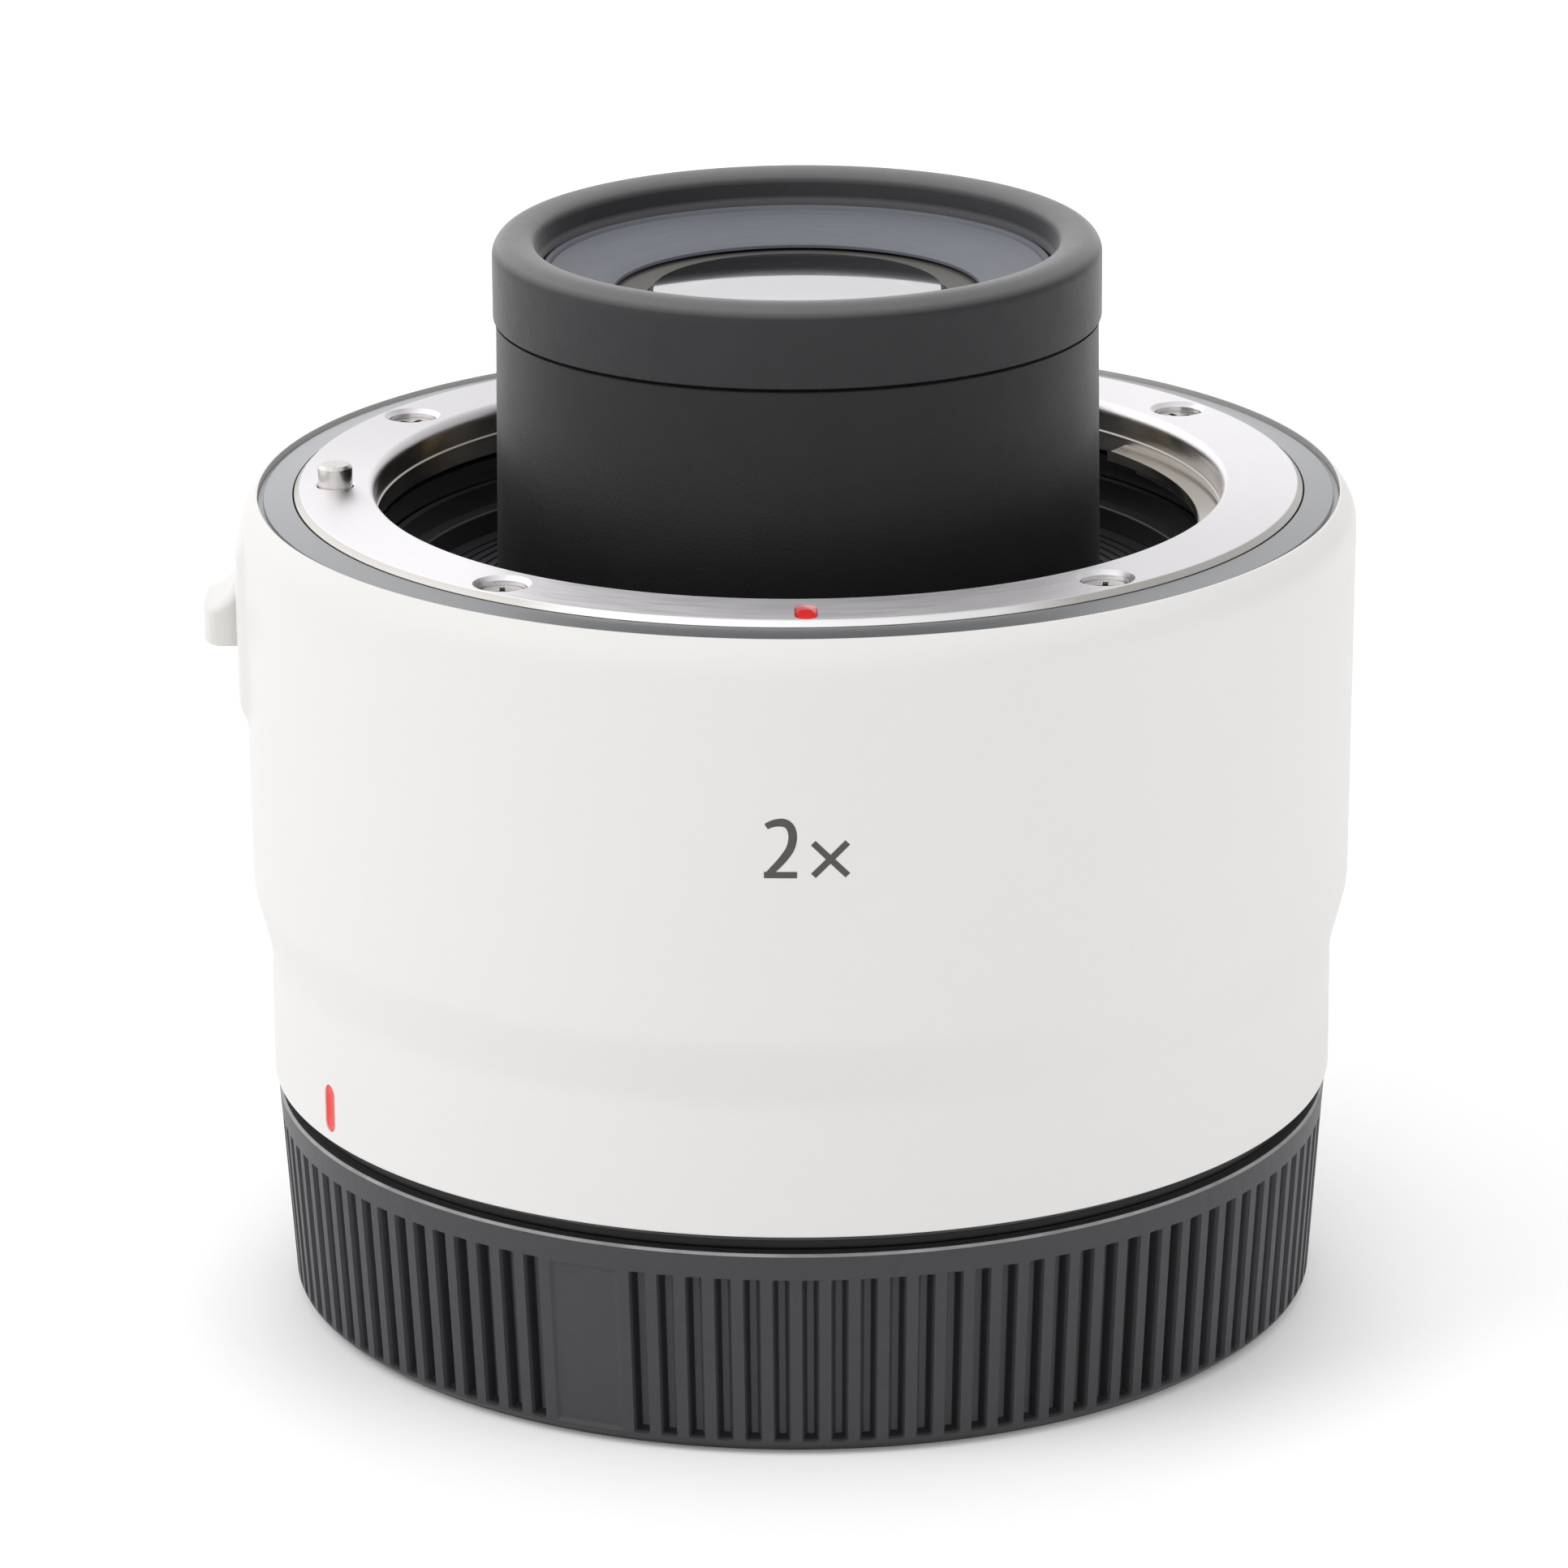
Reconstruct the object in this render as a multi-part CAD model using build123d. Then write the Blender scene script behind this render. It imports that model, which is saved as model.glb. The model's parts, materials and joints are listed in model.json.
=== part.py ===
"""A 2x teleconverter with a bayonet at each end, standing on its rear dust cap.

Millimetres. +Z runs along the optical axis, from the camera towards the lens. The origin is the
centre of the rear cap's foot. An azimuth is measured from +X towards +Y, seen from the lens side.
The front index and the figure on the barrel face -Y, and the release knob is on -X.
"""

import math
import os

from build123d import *

# Stations along the optical axis, each from the one before it
cap_height = 13.65
seal_show = 0.60
body_length = 39.30
rim_show = 0.62
face_step = 0.40
snout_reach = 16.10
snout_ring_height = 5.32
well_depth = 7.88

rear_flange_z = cap_height + seal_show
front_face_z = rear_flange_z + body_length
shell_low_z = rear_flange_z + rim_show
trim_top_z = front_face_z - face_step
snout_top_z = front_face_z + snout_reach
snout_groove_z = snout_top_z - snout_ring_height
well_floor_z = front_face_z - well_depth

# Clearances
seat_gap = 0.05
pin_gap = 0.08
side_gap = 0.30
cement_gap = 0.03
seam_gap = 0.20
overrun = 1.00

# Shares that serve several pieces
arc_share = 1 - math.sqrt(0.5)
wedge_step = 30

# Radii outwards from the first lens to the bayonet's throat
front_lens_r = 10.90
lens_inset = 0.80
cone_width = 4.40
snout_wall = 2.95
snout_clearance = 1.70
front_block_width = 4.10
well_ledge_width = 1.10
well_upper_wall = 0.50
well_wall_play = 0.10

cone_low_r = front_lens_r + lens_inset
cone_high_r = cone_low_r + cone_width
rim_mouth_r = cone_high_r + side_gap
snout_bore_r = rim_mouth_r - seat_gap
snout_r = snout_bore_r + snout_wall
front_block_inner_r = snout_r + snout_clearance
front_block_outer_r = front_block_inner_r + front_block_width
well_ledge_inner_r = front_block_outer_r + seam_gap
well_ledge_outer_r = well_ledge_inner_r + well_ledge_width
well_wall_r = well_ledge_outer_r + well_upper_wall
throat_r = well_wall_r + well_wall_play

# Bayonet, the same at both ends
throat_chamfer = 0.25
throat_depth = 1.95
lug_reach = 1.50
lug_thickness = 1.30
lug_slack = 4.0
bayonet_play = 0.10
male_lug_thickness = 1.40
male_play = 0.20
sleeve_play = 0.20
sleeve_wall = 1.30
sleeve_depth = 5.20
spigot_depth = 1.50
front_index_azimuth = -89.2
bayonet_turn = 61.0
female_lugs = [(95.2, 62.0), (183.7, 55.0), (315.2, 58.0)]

lug_inner_r = throat_r - lug_reach
male_r = throat_r - male_play
sleeve_r = lug_inner_r - sleeve_play
sleeve_bore_r = sleeve_r - sleeve_wall

# Front mount ring and the trim ring round it
mount_land = 5.15
mount_plate = 2.00
collar_wall = 0.90
mount_edge_chamfer = 0.30
trim_width = 2.30
trim_thickness = 1.45
trim_rebate_width = 0.20
trim_rebate_depth = 0.30
leaf_thickness = 0.30
leaf_reach = 0.30
leaf_span_share = 0.80
front_screw_inset = 2.35
front_screw_azimuths = [-127.3, -51.2, 32.9, 148.3]
screw_turn_step = 17

mount_ring_r = throat_r + mount_land
trim_r = mount_ring_r + trim_width
front_screw_circle_r = mount_ring_r - front_screw_inset

# Outer shell, from its lip inwards and down
shell_lip_width = 0.17
shoulder_width = 0.98
shoulder_height = 2.40
shoulder_round = 2.60
shell_flare = 0.20
shell_swell = 1.05
shell_low_height = 8.65
shell_taper_height = 4.10
taper_round = 5.00
shell_wall = 1.30
shell_ledge_height = 1.90

shell_lip_r = trim_r + shell_lip_width
shell_high_r = shell_lip_r + shoulder_width
shell_waist_r = shell_high_r - shell_flare
shell_low_r = shell_waist_r - shell_swell

# Screws
screw_head_r = 1.50
screw_head_height = 0.80
screw_shank_r = 0.80
screw_length = 3.60
screw_sink = 0.55
screw_bore_chamfer = 0.28
small_head_r = 1.15
small_head_height = 0.60
small_shank_r = 0.55
small_length = 2.60
cross_slot = 0.36
cross_depth_share = 0.55
cross_span_share = 1.20

# Index marks
front_mark_width = 1.40
front_mark_inset = 1.65
front_mark_margin = 0.45
rear_mark_azimuth = front_index_azimuth - bayonet_turn
rear_mark_width = 1.30
rear_mark_rise = 0.63
rear_mark_length = 3.20
mark_depth = 0.35
mark_sink = 0.10

front_mark_inner_r = throat_r + front_mark_inset
front_mark_outer_r = mount_ring_r - front_mark_margin

# Frame inside the shell
shell_rim_wall = 0.95
frame_rim_drop = 0.10
frame_rim_width = 1.00
frame_tube_wall = 1.80
frame_floor = 2.00
frame_head_width = 1.35
frame_head_height = 3.05
frame_lap = 0.50
shelf_thickness = 2.00
barrel_flange_thickness = 1.80
floor_plate = 1.47
shim_thickness = 0.10

frame_rim_r = shell_low_r - shell_rim_wall
frame_tube_r = frame_rim_r - frame_rim_width
frame_head_r = mount_ring_r + frame_head_width
tube_bore_r = frame_tube_r - frame_tube_wall

# Walls of the front well
well_ledge_drop = 6.45
floor_groove_depth = 0.12
floor_groove_width = 0.30
floor_groove_pitch = 0.75

# Rear mount ring, seal and light baffle
rear_plate = 2.00
seal_width = 1.55
rear_screw_inset = 2.55
rear_screw_azimuths = [-45.0, 45.0, 135.0, -135.0]
seal_play = 0.10
baffle_thickness = 1.00
baffle_lap = 1.10
baffle_window_x = 30.00
baffle_window_y = 21.00
baffle_corner = 2.00
stop_span = 4.0
stop_gap = 1.0

rear_plate_r = frame_rim_r - seal_width
rear_screw_circle_r = rear_plate_r - rear_screw_inset
baffle_r = sleeve_bore_r + baffle_lap
frame_opening_r = baffle_r - frame_lap

# Electrical contacts, in a block between the well's wall and the barrel
contact_azimuth = 91.0
contact_span = 66.0
contact_count = 12
contact_margin = 4.4
contact_r = 0.50
contact_stand = 1.30
contact_length = 3.60
contact_inset = 1.80
contact_web = 1.10
front_block_height = 1.93
front_block_sole = 0.40
notch_slack = 1.0
contact_spring_wall = 0.20
rear_block_width = 3.50
rear_block_screw_inset = 1.80
rear_block_screw_margin = 5.0
rear_pad_inner_margin = 0.90
rear_pad_outer_margin = 0.80
rear_pad_span = 3.6
rear_pad_thickness = 0.08

contact_pitch = (contact_span - 2 * contact_margin) / (contact_count - 1)
contact_circle_r = front_block_outer_r - contact_inset
front_block_waist_r = contact_circle_r - contact_web
rear_block_inner_r = sleeve_bore_r - rear_block_width
rear_block_screw_circle_r = sleeve_bore_r - rear_block_screw_inset
rear_pad_inner_r = rear_block_inner_r + rear_pad_inner_margin
rear_pad_outer_r = sleeve_bore_r - rear_pad_outer_margin

# Lens barrel with its snout
spigot_step = 1.70
spigot_height = 3.00
barrel_step = 1.30
barrel_flange_width = 4.70
rear_barrel_wall = 3.15
rear_bore_run = 2.47
barrel_screw_inset = 1.60
barrel_screw_azimuths = [-150.0, -30.0, 30.0]

spigot_r = snout_r - spigot_step
rear_barrel_r = snout_r + barrel_step
rear_bore_r = rear_barrel_r - rear_barrel_wall
barrel_flange_r = snout_r + barrel_flange_width
barrel_screw_circle_r = barrel_flange_r - barrel_screw_inset

# Rubber rim round the snout's mouth
rim_shoulder = 1.20
rim_crest_width = 1.50
rim_edge_drop = 0.60
rim_edge_bend_share = 0.22
rim_mouth_drop = 1.90
rim_round = 1.25

rim_crest_r = snout_r - rim_shoulder
rim_edge_r = rim_crest_r - rim_crest_width

# Rings in front of the first lens, measured up from the lens's edge
front_lens_drop = 4.45
cone_rise = 1.60
cone_lift = 0.40
cone_ring_wall = 0.95
retainer_land = 1.60
retainer_step_in = 0.10
retainer_step_height = 0.30
retainer_bevel_lap = 1.15
retainer_bevel_height = 0.20
retainer_bore_lap = 1.25

retainer_r = front_lens_r + retainer_land
retainer_step_r = front_lens_r + retainer_step_in
retainer_bevel_r = front_lens_r - retainer_bevel_lap
retainer_bore_r = front_lens_r - retainer_bore_lap

# Lens groups: 1, 2, 3, 2 and 1 elements
front_lens_dish = 0.42
front_lens_edge = 2.80
front_spacer = 4.80
front_group_edges = [2.40, 3.60]
front_group_sag = 0.50
middle_cell_wall = 4.85
middle_edges = [2.60, 4.40, 2.60]
rear_group_wall = 2.95
rear_group_edges = [2.60, 4.60]
rear_cell_step = 1.60
rear_shoulder = 2.00
last_cell_wall = 3.50
last_lens_edge = 3.40
cement_sag_share = 0.08
last_sag_share = 0.05
cell_lip = 1.00
lip_overlap = 1.40
retainer_height = 1.50
retainer_lap = 1.60
barrel_low_share = 0.416

middle_lens_r = snout_bore_r - middle_cell_wall
rear_group_r = rear_bore_r - rear_group_wall
rear_cell_r = rear_barrel_r - rear_cell_step
last_lens_r = rear_cell_r - last_cell_wall

# Lock pin, release knob and what joins them
lock_pin_r = 1.10
lock_pin_inset = 2.65
lock_pin_azimuth = -177.5
lock_pin_stand = 1.40
lock_pin_tail_r = 0.55
lock_pin_tail = 2.60
lock_pin_chamfer = 0.18
release_travel = 1.50
arm_thickness = 1.40
arm_width = 5.60
arm_overhang = 1.60
leg_thickness = 1.00
leg_width = 6.40
leg_height = 4.00
pad_width = 4.00
pad_height = 3.00
knob_headroom = 0.85
knob_base_height = 7.40
knob_base_width = 7.00
knob_base_stand = 0.30
knob_base_thickness = 1.40
knob_reach = 2.20
knob_height = 4.95
knob_width = 6.80
knob_lip = 2.30
knob_hollow_share = 0.45
knob_round = 0.55
slot_round_share = 0.25
spring_wire_r = 0.15
spring_r = 1.05
spring_turns = 6.5
spring_hole_r = 1.45
spring_floor = 0.50

lock_pin_circle_r = mount_ring_r - lock_pin_inset
arm_inner_x = lock_pin_circle_r - arm_overhang
knob_high_z = trim_top_z - trim_thickness - knob_headroom
knob_low_z = knob_high_z - knob_base_height
knob_base_r = shell_high_r + knob_base_stand
knob_r = knob_base_r + knob_reach

# Raised pad on the shell round the knob's slot
pad_rise = 0.45
pad_span = 21.0
pad_tail = 4.85
pad_blend = 1.80
pad_round = 0.35

pad_r = shell_high_r + pad_rise
pad_low_z = knob_low_z - pad_tail

# Circuit board and its two ribbon cables
board_thickness = 1.00
board_clearance = 0.90
board_margin = 0.60
board_post_r = 1.50
board_post_inset = 2.50
board_post_azimuths = [30.0, 150.0, 270.0]
ribbon_width = 8.00
ribbon_thickness = 0.20
front_ribbon_inset = 1.10
front_ribbon_foot = 3.00
rear_ribbon_inset = 1.30
chip_inset = 4.10
chip_azimuths = [-20.0, 0.0, 200.0, 232.0, 305.0]
chip_sides = [5.0, 3.2, 4.2, 6.0, 3.0]
chip_height = 0.90

board_inner_r = rear_barrel_r + board_clearance
board_outer_r = tube_bore_r - board_margin
board_post_circle_r = board_outer_r - board_post_inset
front_ribbon_y = front_block_outer_r - front_ribbon_inset
rear_ribbon_y = sleeve_bore_r - rear_ribbon_inset
chip_circle_r = board_inner_r + chip_inset

# Rear cap
cap_step = 0.25
cap_taper = 0.92
cap_skirt_wall = 1.90
cap_floor = 2.00
cap_foot_step = 1.38
cap_foot_height = 0.55
cap_low_band = 0.85
cap_plain_band = 1.70
cap_edge_chamfer = 0.22
cap_divisions = 118
cap_rib_share = 0.375
cap_groove_depth = 0.50
cap_ridge_share = 0.30
cap_ridge_sink = 0.22
cap_panel_divisions = 3
cap_panel_depth = 0.16
cap_twist = 36.6
cap_ring_wall = 1.20
cap_ring_top_gap = 0.35
cap_lug_thickness = 1.30
cap_lug_span = 24.0
cap_lugs = [184.0, 315.2, 94.7]
cap_sole_margin = 2.80
cap_sole_width = 7.00
cap_sole_depth = 0.25

cap_top_r = shell_low_r - cap_step
cap_low_r = cap_top_r - cap_taper
cap_foot_r = cap_low_r - cap_foot_step
cap_sole_outer_r = cap_foot_r - cap_sole_margin
cap_sole_inner_r = cap_sole_outer_r - cap_sole_width
cap_rib_top_z = cap_height - cap_plain_band


# Shapes

def turned(points, rounds=()):
    """A solid of revolution about Z from (radius, height) points; rounds are (point, radius)."""
    outline = make_face(Polyline(*points, close=True))
    for spot, radius in rounds:
        corner = outline.vertices().sort_by_distance((spot[0], spot[1], 0))[0]
        outline = outline.face().fillet_2d(radius, [corner])
    return revolve(Plane.XZ * outline, Axis.Z)


def ring(inner, outer, low, high):
    return turned([(inner, low), (outer, low), (outer, high), (inner, high)])


def rod(radius, low, high, x=0, y=0):
    base = (Align.CENTER, Align.CENTER, Align.MIN)
    return Pos(x, y, low) * Cylinder(radius, high - low, align=base)


def block(low, high):
    size = [b - a for a, b in zip(low, high)]
    corner = (Align.MIN, Align.MIN, Align.MIN)
    return Pos(*low) * Box(*size, align=corner)


def place(radius, azimuth):
    turn = math.radians(azimuth)
    return radius * math.cos(turn), radius * math.sin(turn)


def wedge(centre, span, reach, low, high):
    """A slice of a disc, for cutting an arc out of a ring."""
    steps = max(2, math.ceil(span / wedge_step))
    start = centre - span / 2
    rim = [place(reach, start + span * k / steps) for k in range(steps + 1)]
    outline = make_face(Polyline((0, 0), *rim, close=True))
    return Pos(0, 0, low) * extrude(outline, high - low)


def arc_of(inner, outer, low, high, centre, span):
    return ring(inner, outer, low, high) & wedge(centre, span, 2 * outer, low, high)


def radial_block(inner, outer, width, low, high, azimuth):
    return Rot(0, 0, azimuth) * block((inner, -width / 2, low), (outer, width / 2, high))


def grouped(solids):
    return Compound(children=[solid.solid() for solid in solids])


def joined(solids):
    result = solids[0]
    for solid in solids[1:]:
        result = result + solid
    return result


def bulge(radius, sag, at):
    """Height over its edge plane of a spherical face with this sag, at a distance from the axis."""
    if sag == 0:
        return 0
    ball = (radius ** 2 + sag ** 2) / (2 * abs(sag))
    rise = math.sqrt(ball ** 2 - at ** 2) - (ball - abs(sag))
    return math.copysign(rise, sag)


def glass_face(radius, edge_z, sag):
    """Half the section of a spherical or flat glass face, from the axis to the edge."""
    if sag == 0:
        return Line((0, edge_z), (radius, edge_z))
    middle = (radius / 2, edge_z + bulge(radius, sag, radius / 2))
    return ThreePointArc((0, edge_z + sag), middle, (radius, edge_z))


def lens(radius, low, high, low_sag, high_sag):
    """One glass element between two edge planes; a positive sag stands up, towards the front."""
    lines = [Line((radius, low), (radius, high)), Line((0, low + low_sag), (0, high + high_sag))]
    lines += [glass_face(radius, low, low_sag), glass_face(radius, high, high_sag)]
    return revolve(Plane.XZ * make_face(Curve() + lines), Axis.Z)


def cross_recess(head_r, depth, top):
    span = head_r * cross_span_share
    long_arm = block((-span / 2, -cross_slot / 2, top - depth), (span / 2, cross_slot / 2, top))
    return long_arm + Rot(0, 0, 90) * long_arm


def screw(head_r, head_height, shank_r, length):
    """A flat-topped machine screw with its head's top at height zero, pointing down."""
    shank = rod(shank_r, -length, -head_height)
    head = rod(head_r, -head_height, 0)
    return head + shank - cross_recess(head_r, head_height * cross_depth_share, 0)


def screw_hole(head_r, head_height, shank_r, length, sink):
    """Room for such a screw, with its counterbore open upwards."""
    head = rod(head_r + seat_gap, -head_height, sink + overrun)
    return head + rod(shank_r + seat_gap, -length - seat_gap, -head_height)


# Lens barrel and glass

barrel_top_z = snout_groove_z + spigot_height
barrel_seat_z = well_floor_z - floor_plate - barrel_flange_thickness
front_cell_top_z = snout_top_z - front_lens_drop
retainer_step_z = front_cell_top_z + retainer_step_height
cone_low_z = retainer_step_z + cone_lift
cone_high_z = cone_low_z + cone_rise
front_lens_low_z = front_cell_top_z - front_lens_edge
front_group_top_z = front_lens_low_z - front_spacer
front_group_low_z = front_group_top_z - sum(front_group_edges) - cement_gap
front_cell_low_z = front_group_low_z - cell_lip
middle_top_z = front_cell_low_z - 2 * cell_lip
middle_low_z = middle_top_z - sum(middle_edges) - 2 * cement_gap
middle_cell_low_z = middle_low_z - cell_lip
rear_cell_low_z = rear_flange_z + rear_plate + side_gap
last_lens_low_z = rear_cell_low_z + retainer_height
last_lens_top_z = last_lens_low_z + last_lens_edge
rear_group_height = sum(rear_group_edges) + cement_gap
rear_stack = cell_lip + rear_group_height + retainer_height
barrel_low_z = last_lens_top_z + barrel_low_share * (middle_cell_low_z - last_lens_top_z - rear_stack)
board_low_z = barrel_low_z
rear_group_low_z = barrel_low_z + cell_lip
rear_group_top_z = rear_group_low_z + rear_group_height
rear_bore_top_z = rear_group_top_z + retainer_height + rear_bore_run


def inner_barrel():
    flange_top_z = barrel_seat_z + barrel_flange_thickness
    shoulder_z = snout_groove_z - seam_gap / 2
    outline = [(snout_bore_r, rear_bore_top_z), (snout_bore_r, barrel_top_z), (spigot_r, barrel_top_z)]
    outline += [(spigot_r, shoulder_z), (snout_r, shoulder_z), (snout_r, flange_top_z)]
    outline += [(barrel_flange_r, flange_top_z), (barrel_flange_r, barrel_seat_z)]
    outline += [(rear_barrel_r, barrel_seat_z), (rear_barrel_r, barrel_low_z)]
    outline += [(rear_bore_r, barrel_low_z), (rear_bore_r, rear_bore_top_z)]
    barrel = turned(outline)
    for hole in small_screw_holes(barrel_screw_circle_r, barrel_screw_azimuths, flange_top_z):
        barrel = barrel - hole
    return barrel - contact_notch()


def snout_rim_ring():
    low_z = snout_groove_z + seam_gap / 2
    inner_r = spigot_r + seat_gap
    mouth_z = snout_top_z - rim_mouth_drop
    edge_z = snout_top_z - rim_edge_drop
    round_z = snout_top_z - rim_round
    crest_bend = (snout_r - rim_shoulder * arc_share, snout_top_z - rim_round * arc_share)
    edge_bend = ((rim_crest_r + rim_edge_r) / 2, snout_top_z - rim_edge_drop * rim_edge_bend_share)
    lines = [Line((rim_mouth_r, mouth_z), (rim_mouth_r, barrel_top_z))]
    lines.append(Line((rim_mouth_r, barrel_top_z), (inner_r, barrel_top_z)))
    lines.append(Line((inner_r, barrel_top_z), (inner_r, low_z)))
    lines.append(Line((inner_r, low_z), (snout_r, low_z)))
    lines.append(Line((snout_r, low_z), (snout_r, round_z)))
    lines.append(ThreePointArc((snout_r, round_z), crest_bend, (rim_crest_r, snout_top_z)))
    lines.append(ThreePointArc((rim_crest_r, snout_top_z), edge_bend, (rim_edge_r, edge_z)))
    lines.append(Line((rim_edge_r, edge_z), (rim_mouth_r, mouth_z)))
    return revolve(Plane.XZ * make_face(Curve() + lines), Axis.Z)


def front_cone_ring():
    under_z = cone_low_z - seam_gap
    outline = [(cone_low_r, cone_low_z), (cone_high_r, cone_high_z), (cone_high_r, front_cell_top_z)]
    outline += [(cone_high_r - cone_ring_wall, front_cell_top_z)]
    outline += [(cone_high_r - cone_ring_wall, under_z), (cone_low_r, under_z)]
    return turned(outline)


def front_lens_retainer():
    bevel_z = front_cell_top_z + retainer_bevel_height
    low_z = front_cell_top_z + cement_gap
    outline = [(retainer_bore_r, low_z + bulge(front_lens_r, -front_lens_dish, retainer_bore_r))]
    outline += [(retainer_bevel_r, bevel_z), (retainer_step_r, retainer_step_z)]
    outline += [(retainer_r, retainer_step_z), (retainer_r, low_z), (front_lens_r, low_z)]
    return turned(outline)


def front_cell():
    bore_r = front_lens_r + seat_gap
    outer_r = snout_bore_r - seat_gap
    outline = [(bore_r, front_group_low_z), (bore_r, front_cell_top_z), (outer_r, front_cell_top_z)]
    outline += [(outer_r, front_cell_low_z), (bore_r - lip_overlap, front_cell_low_z)]
    outline += [(bore_r - lip_overlap, front_group_low_z)]
    return turned(outline)


def lens_spacer():
    return ring(front_lens_r - lip_overlap, front_lens_r, front_group_top_z, front_lens_low_z)


def middle_cell():
    bore_r = middle_lens_r + seat_gap
    outer_r = snout_bore_r - seat_gap
    outline = [(bore_r, middle_low_z), (bore_r, front_cell_low_z), (outer_r, front_cell_low_z)]
    outline += [(outer_r, middle_cell_low_z), (bore_r - lip_overlap, middle_cell_low_z)]
    outline += [(bore_r - lip_overlap, middle_low_z)]
    return turned(outline)


def middle_lens_retainer():
    return ring(middle_lens_r - retainer_lap, middle_lens_r, middle_top_z, front_cell_low_z)


def rear_cell():
    last_bore_r = last_lens_r + seat_gap
    group_bore_r = rear_group_r + seat_gap
    lip_r = group_bore_r - lip_overlap
    spigot_outer_r = rear_bore_r - seat_gap
    top_z = rear_group_top_z + retainer_height
    shoulder_z = barrel_low_z - rear_shoulder
    outline = [(last_bore_r, rear_cell_low_z), (rear_cell_r, rear_cell_low_z), (rear_cell_r, shoulder_z)]
    outline += [(rear_barrel_r, shoulder_z), (rear_barrel_r, barrel_low_z), (spigot_outer_r, barrel_low_z)]
    outline += [(spigot_outer_r, top_z), (group_bore_r, top_z), (group_bore_r, rear_group_low_z)]
    outline += [(lip_r, rear_group_low_z), (lip_r, last_lens_top_z), (last_bore_r, last_lens_top_z)]
    return turned(outline)


def rear_group_retainer():
    top_z = rear_group_top_z + retainer_height
    return ring(rear_group_r - retainer_lap, rear_group_r, rear_group_top_z, top_z)


def rear_lens_retainer():
    return ring(last_lens_r - retainer_lap, last_lens_r, rear_cell_low_z, last_lens_low_z)


def glass_elements():
    """Nine elements in five groups, numbered from the front."""
    glasses = [lens(front_lens_r, front_lens_low_z, front_cell_top_z, 0, -front_lens_dish)]
    shared = front_group_sag
    split_z = front_group_top_z - front_group_edges[0]
    group_low_z = split_z - cement_gap - front_group_edges[1]
    glasses.append(lens(front_lens_r, split_z, front_group_top_z, -2 * shared, -shared))
    glasses.append(lens(front_lens_r, group_low_z, split_z - cement_gap, 2 * shared, -2 * shared))
    glasses += stacked(middle_lens_r, middle_low_z, middle_edges)
    glasses += stacked(rear_group_r, rear_group_low_z, rear_group_edges)
    last_sag = last_lens_r * last_sag_share
    glasses.append(lens(last_lens_r, last_lens_low_z, last_lens_top_z, 0, -last_sag))
    return glasses


def stacked(radius, low_z, edges):
    """Cemented elements, front one first, whose shared faces bend alternately."""
    glasses = []
    sag = radius * cement_sag_share
    sags = [0] + [sag if k % 2 == 0 else -sag for k in range(len(edges) - 1)] + [0]
    for edge, low_sag, high_sag in zip(edges, sags, sags[1:]):
        glasses.insert(0, lens(radius, low_z, low_z + edge, low_sag, high_sag))
        low_z = low_z + edge + cement_gap
    return glasses


# Front mount

mount_low_z = front_face_z - mount_plate
lug_top_z = front_face_z - throat_depth
lug_low_z = lug_top_z - lug_thickness
collar_r = throat_r + collar_wall
leaf_top_z = lug_low_z - seat_gap
head_low_z = mount_low_z - frame_head_height
shelf_top_z = well_floor_z - floor_plate
screw_top_z = front_face_z - screw_sink


def female_azimuth(index_angle):
    return front_index_azimuth + index_angle


def male_lugs():
    """Each male lug fills the gap between two female lugs, less some slack."""
    lugs = []
    following = female_lugs[1:] + [(female_lugs[0][0] + 360, female_lugs[0][1])]
    for (centre, span), (next_centre, next_span) in zip(female_lugs, following):
        low = centre + span / 2 + lug_slack / 2
        high = next_centre - next_span / 2 - lug_slack / 2
        lugs.append(((low + high) / 2 + rear_mark_azimuth, high - low))
    return lugs


def front_screws():
    tool = screw(screw_head_r, screw_head_height, screw_shank_r, screw_length)
    places = [place(front_screw_circle_r, azimuth) for azimuth in front_screw_azimuths]
    return [Pos(x, y, screw_top_z) * Rot(0, 0, screw_turn_step * k) * tool for k, (x, y) in enumerate(places)]


def front_screw_holes():
    tool = screw_hole(screw_head_r, screw_head_height, screw_shank_r, screw_length, screw_sink)
    mouth_r = screw_head_r + seat_gap + screw_bore_chamfer
    funnel = turned([(0, screw_sink - screw_bore_chamfer), (mouth_r - screw_bore_chamfer,
                     screw_sink - screw_bore_chamfer), (mouth_r, screw_sink), (0, screw_sink)])
    places = [place(front_screw_circle_r, azimuth) for azimuth in front_screw_azimuths]
    return [Pos(x, y, screw_top_z) * (tool + funnel) for x, y in places]


def lock_pin_place():
    return place(lock_pin_circle_r, lock_pin_azimuth)


def lock_pin_hole(low, high):
    return rod(lock_pin_r + pin_gap, low, high, *lock_pin_place())


def front_mark_slot(low, high, trim):
    """A slot with round ends that runs along a radius."""
    half = front_mark_width / 2 - trim
    inner = front_mark_inner_r + front_mark_width / 2
    outer = front_mark_outer_r - front_mark_width / 2
    bar = block((inner, -half, low), (outer, half, high))
    slot = bar + rod(half, low, high, inner) + rod(half, low, high, outer)
    return Rot(0, 0, front_index_azimuth) * slot


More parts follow.
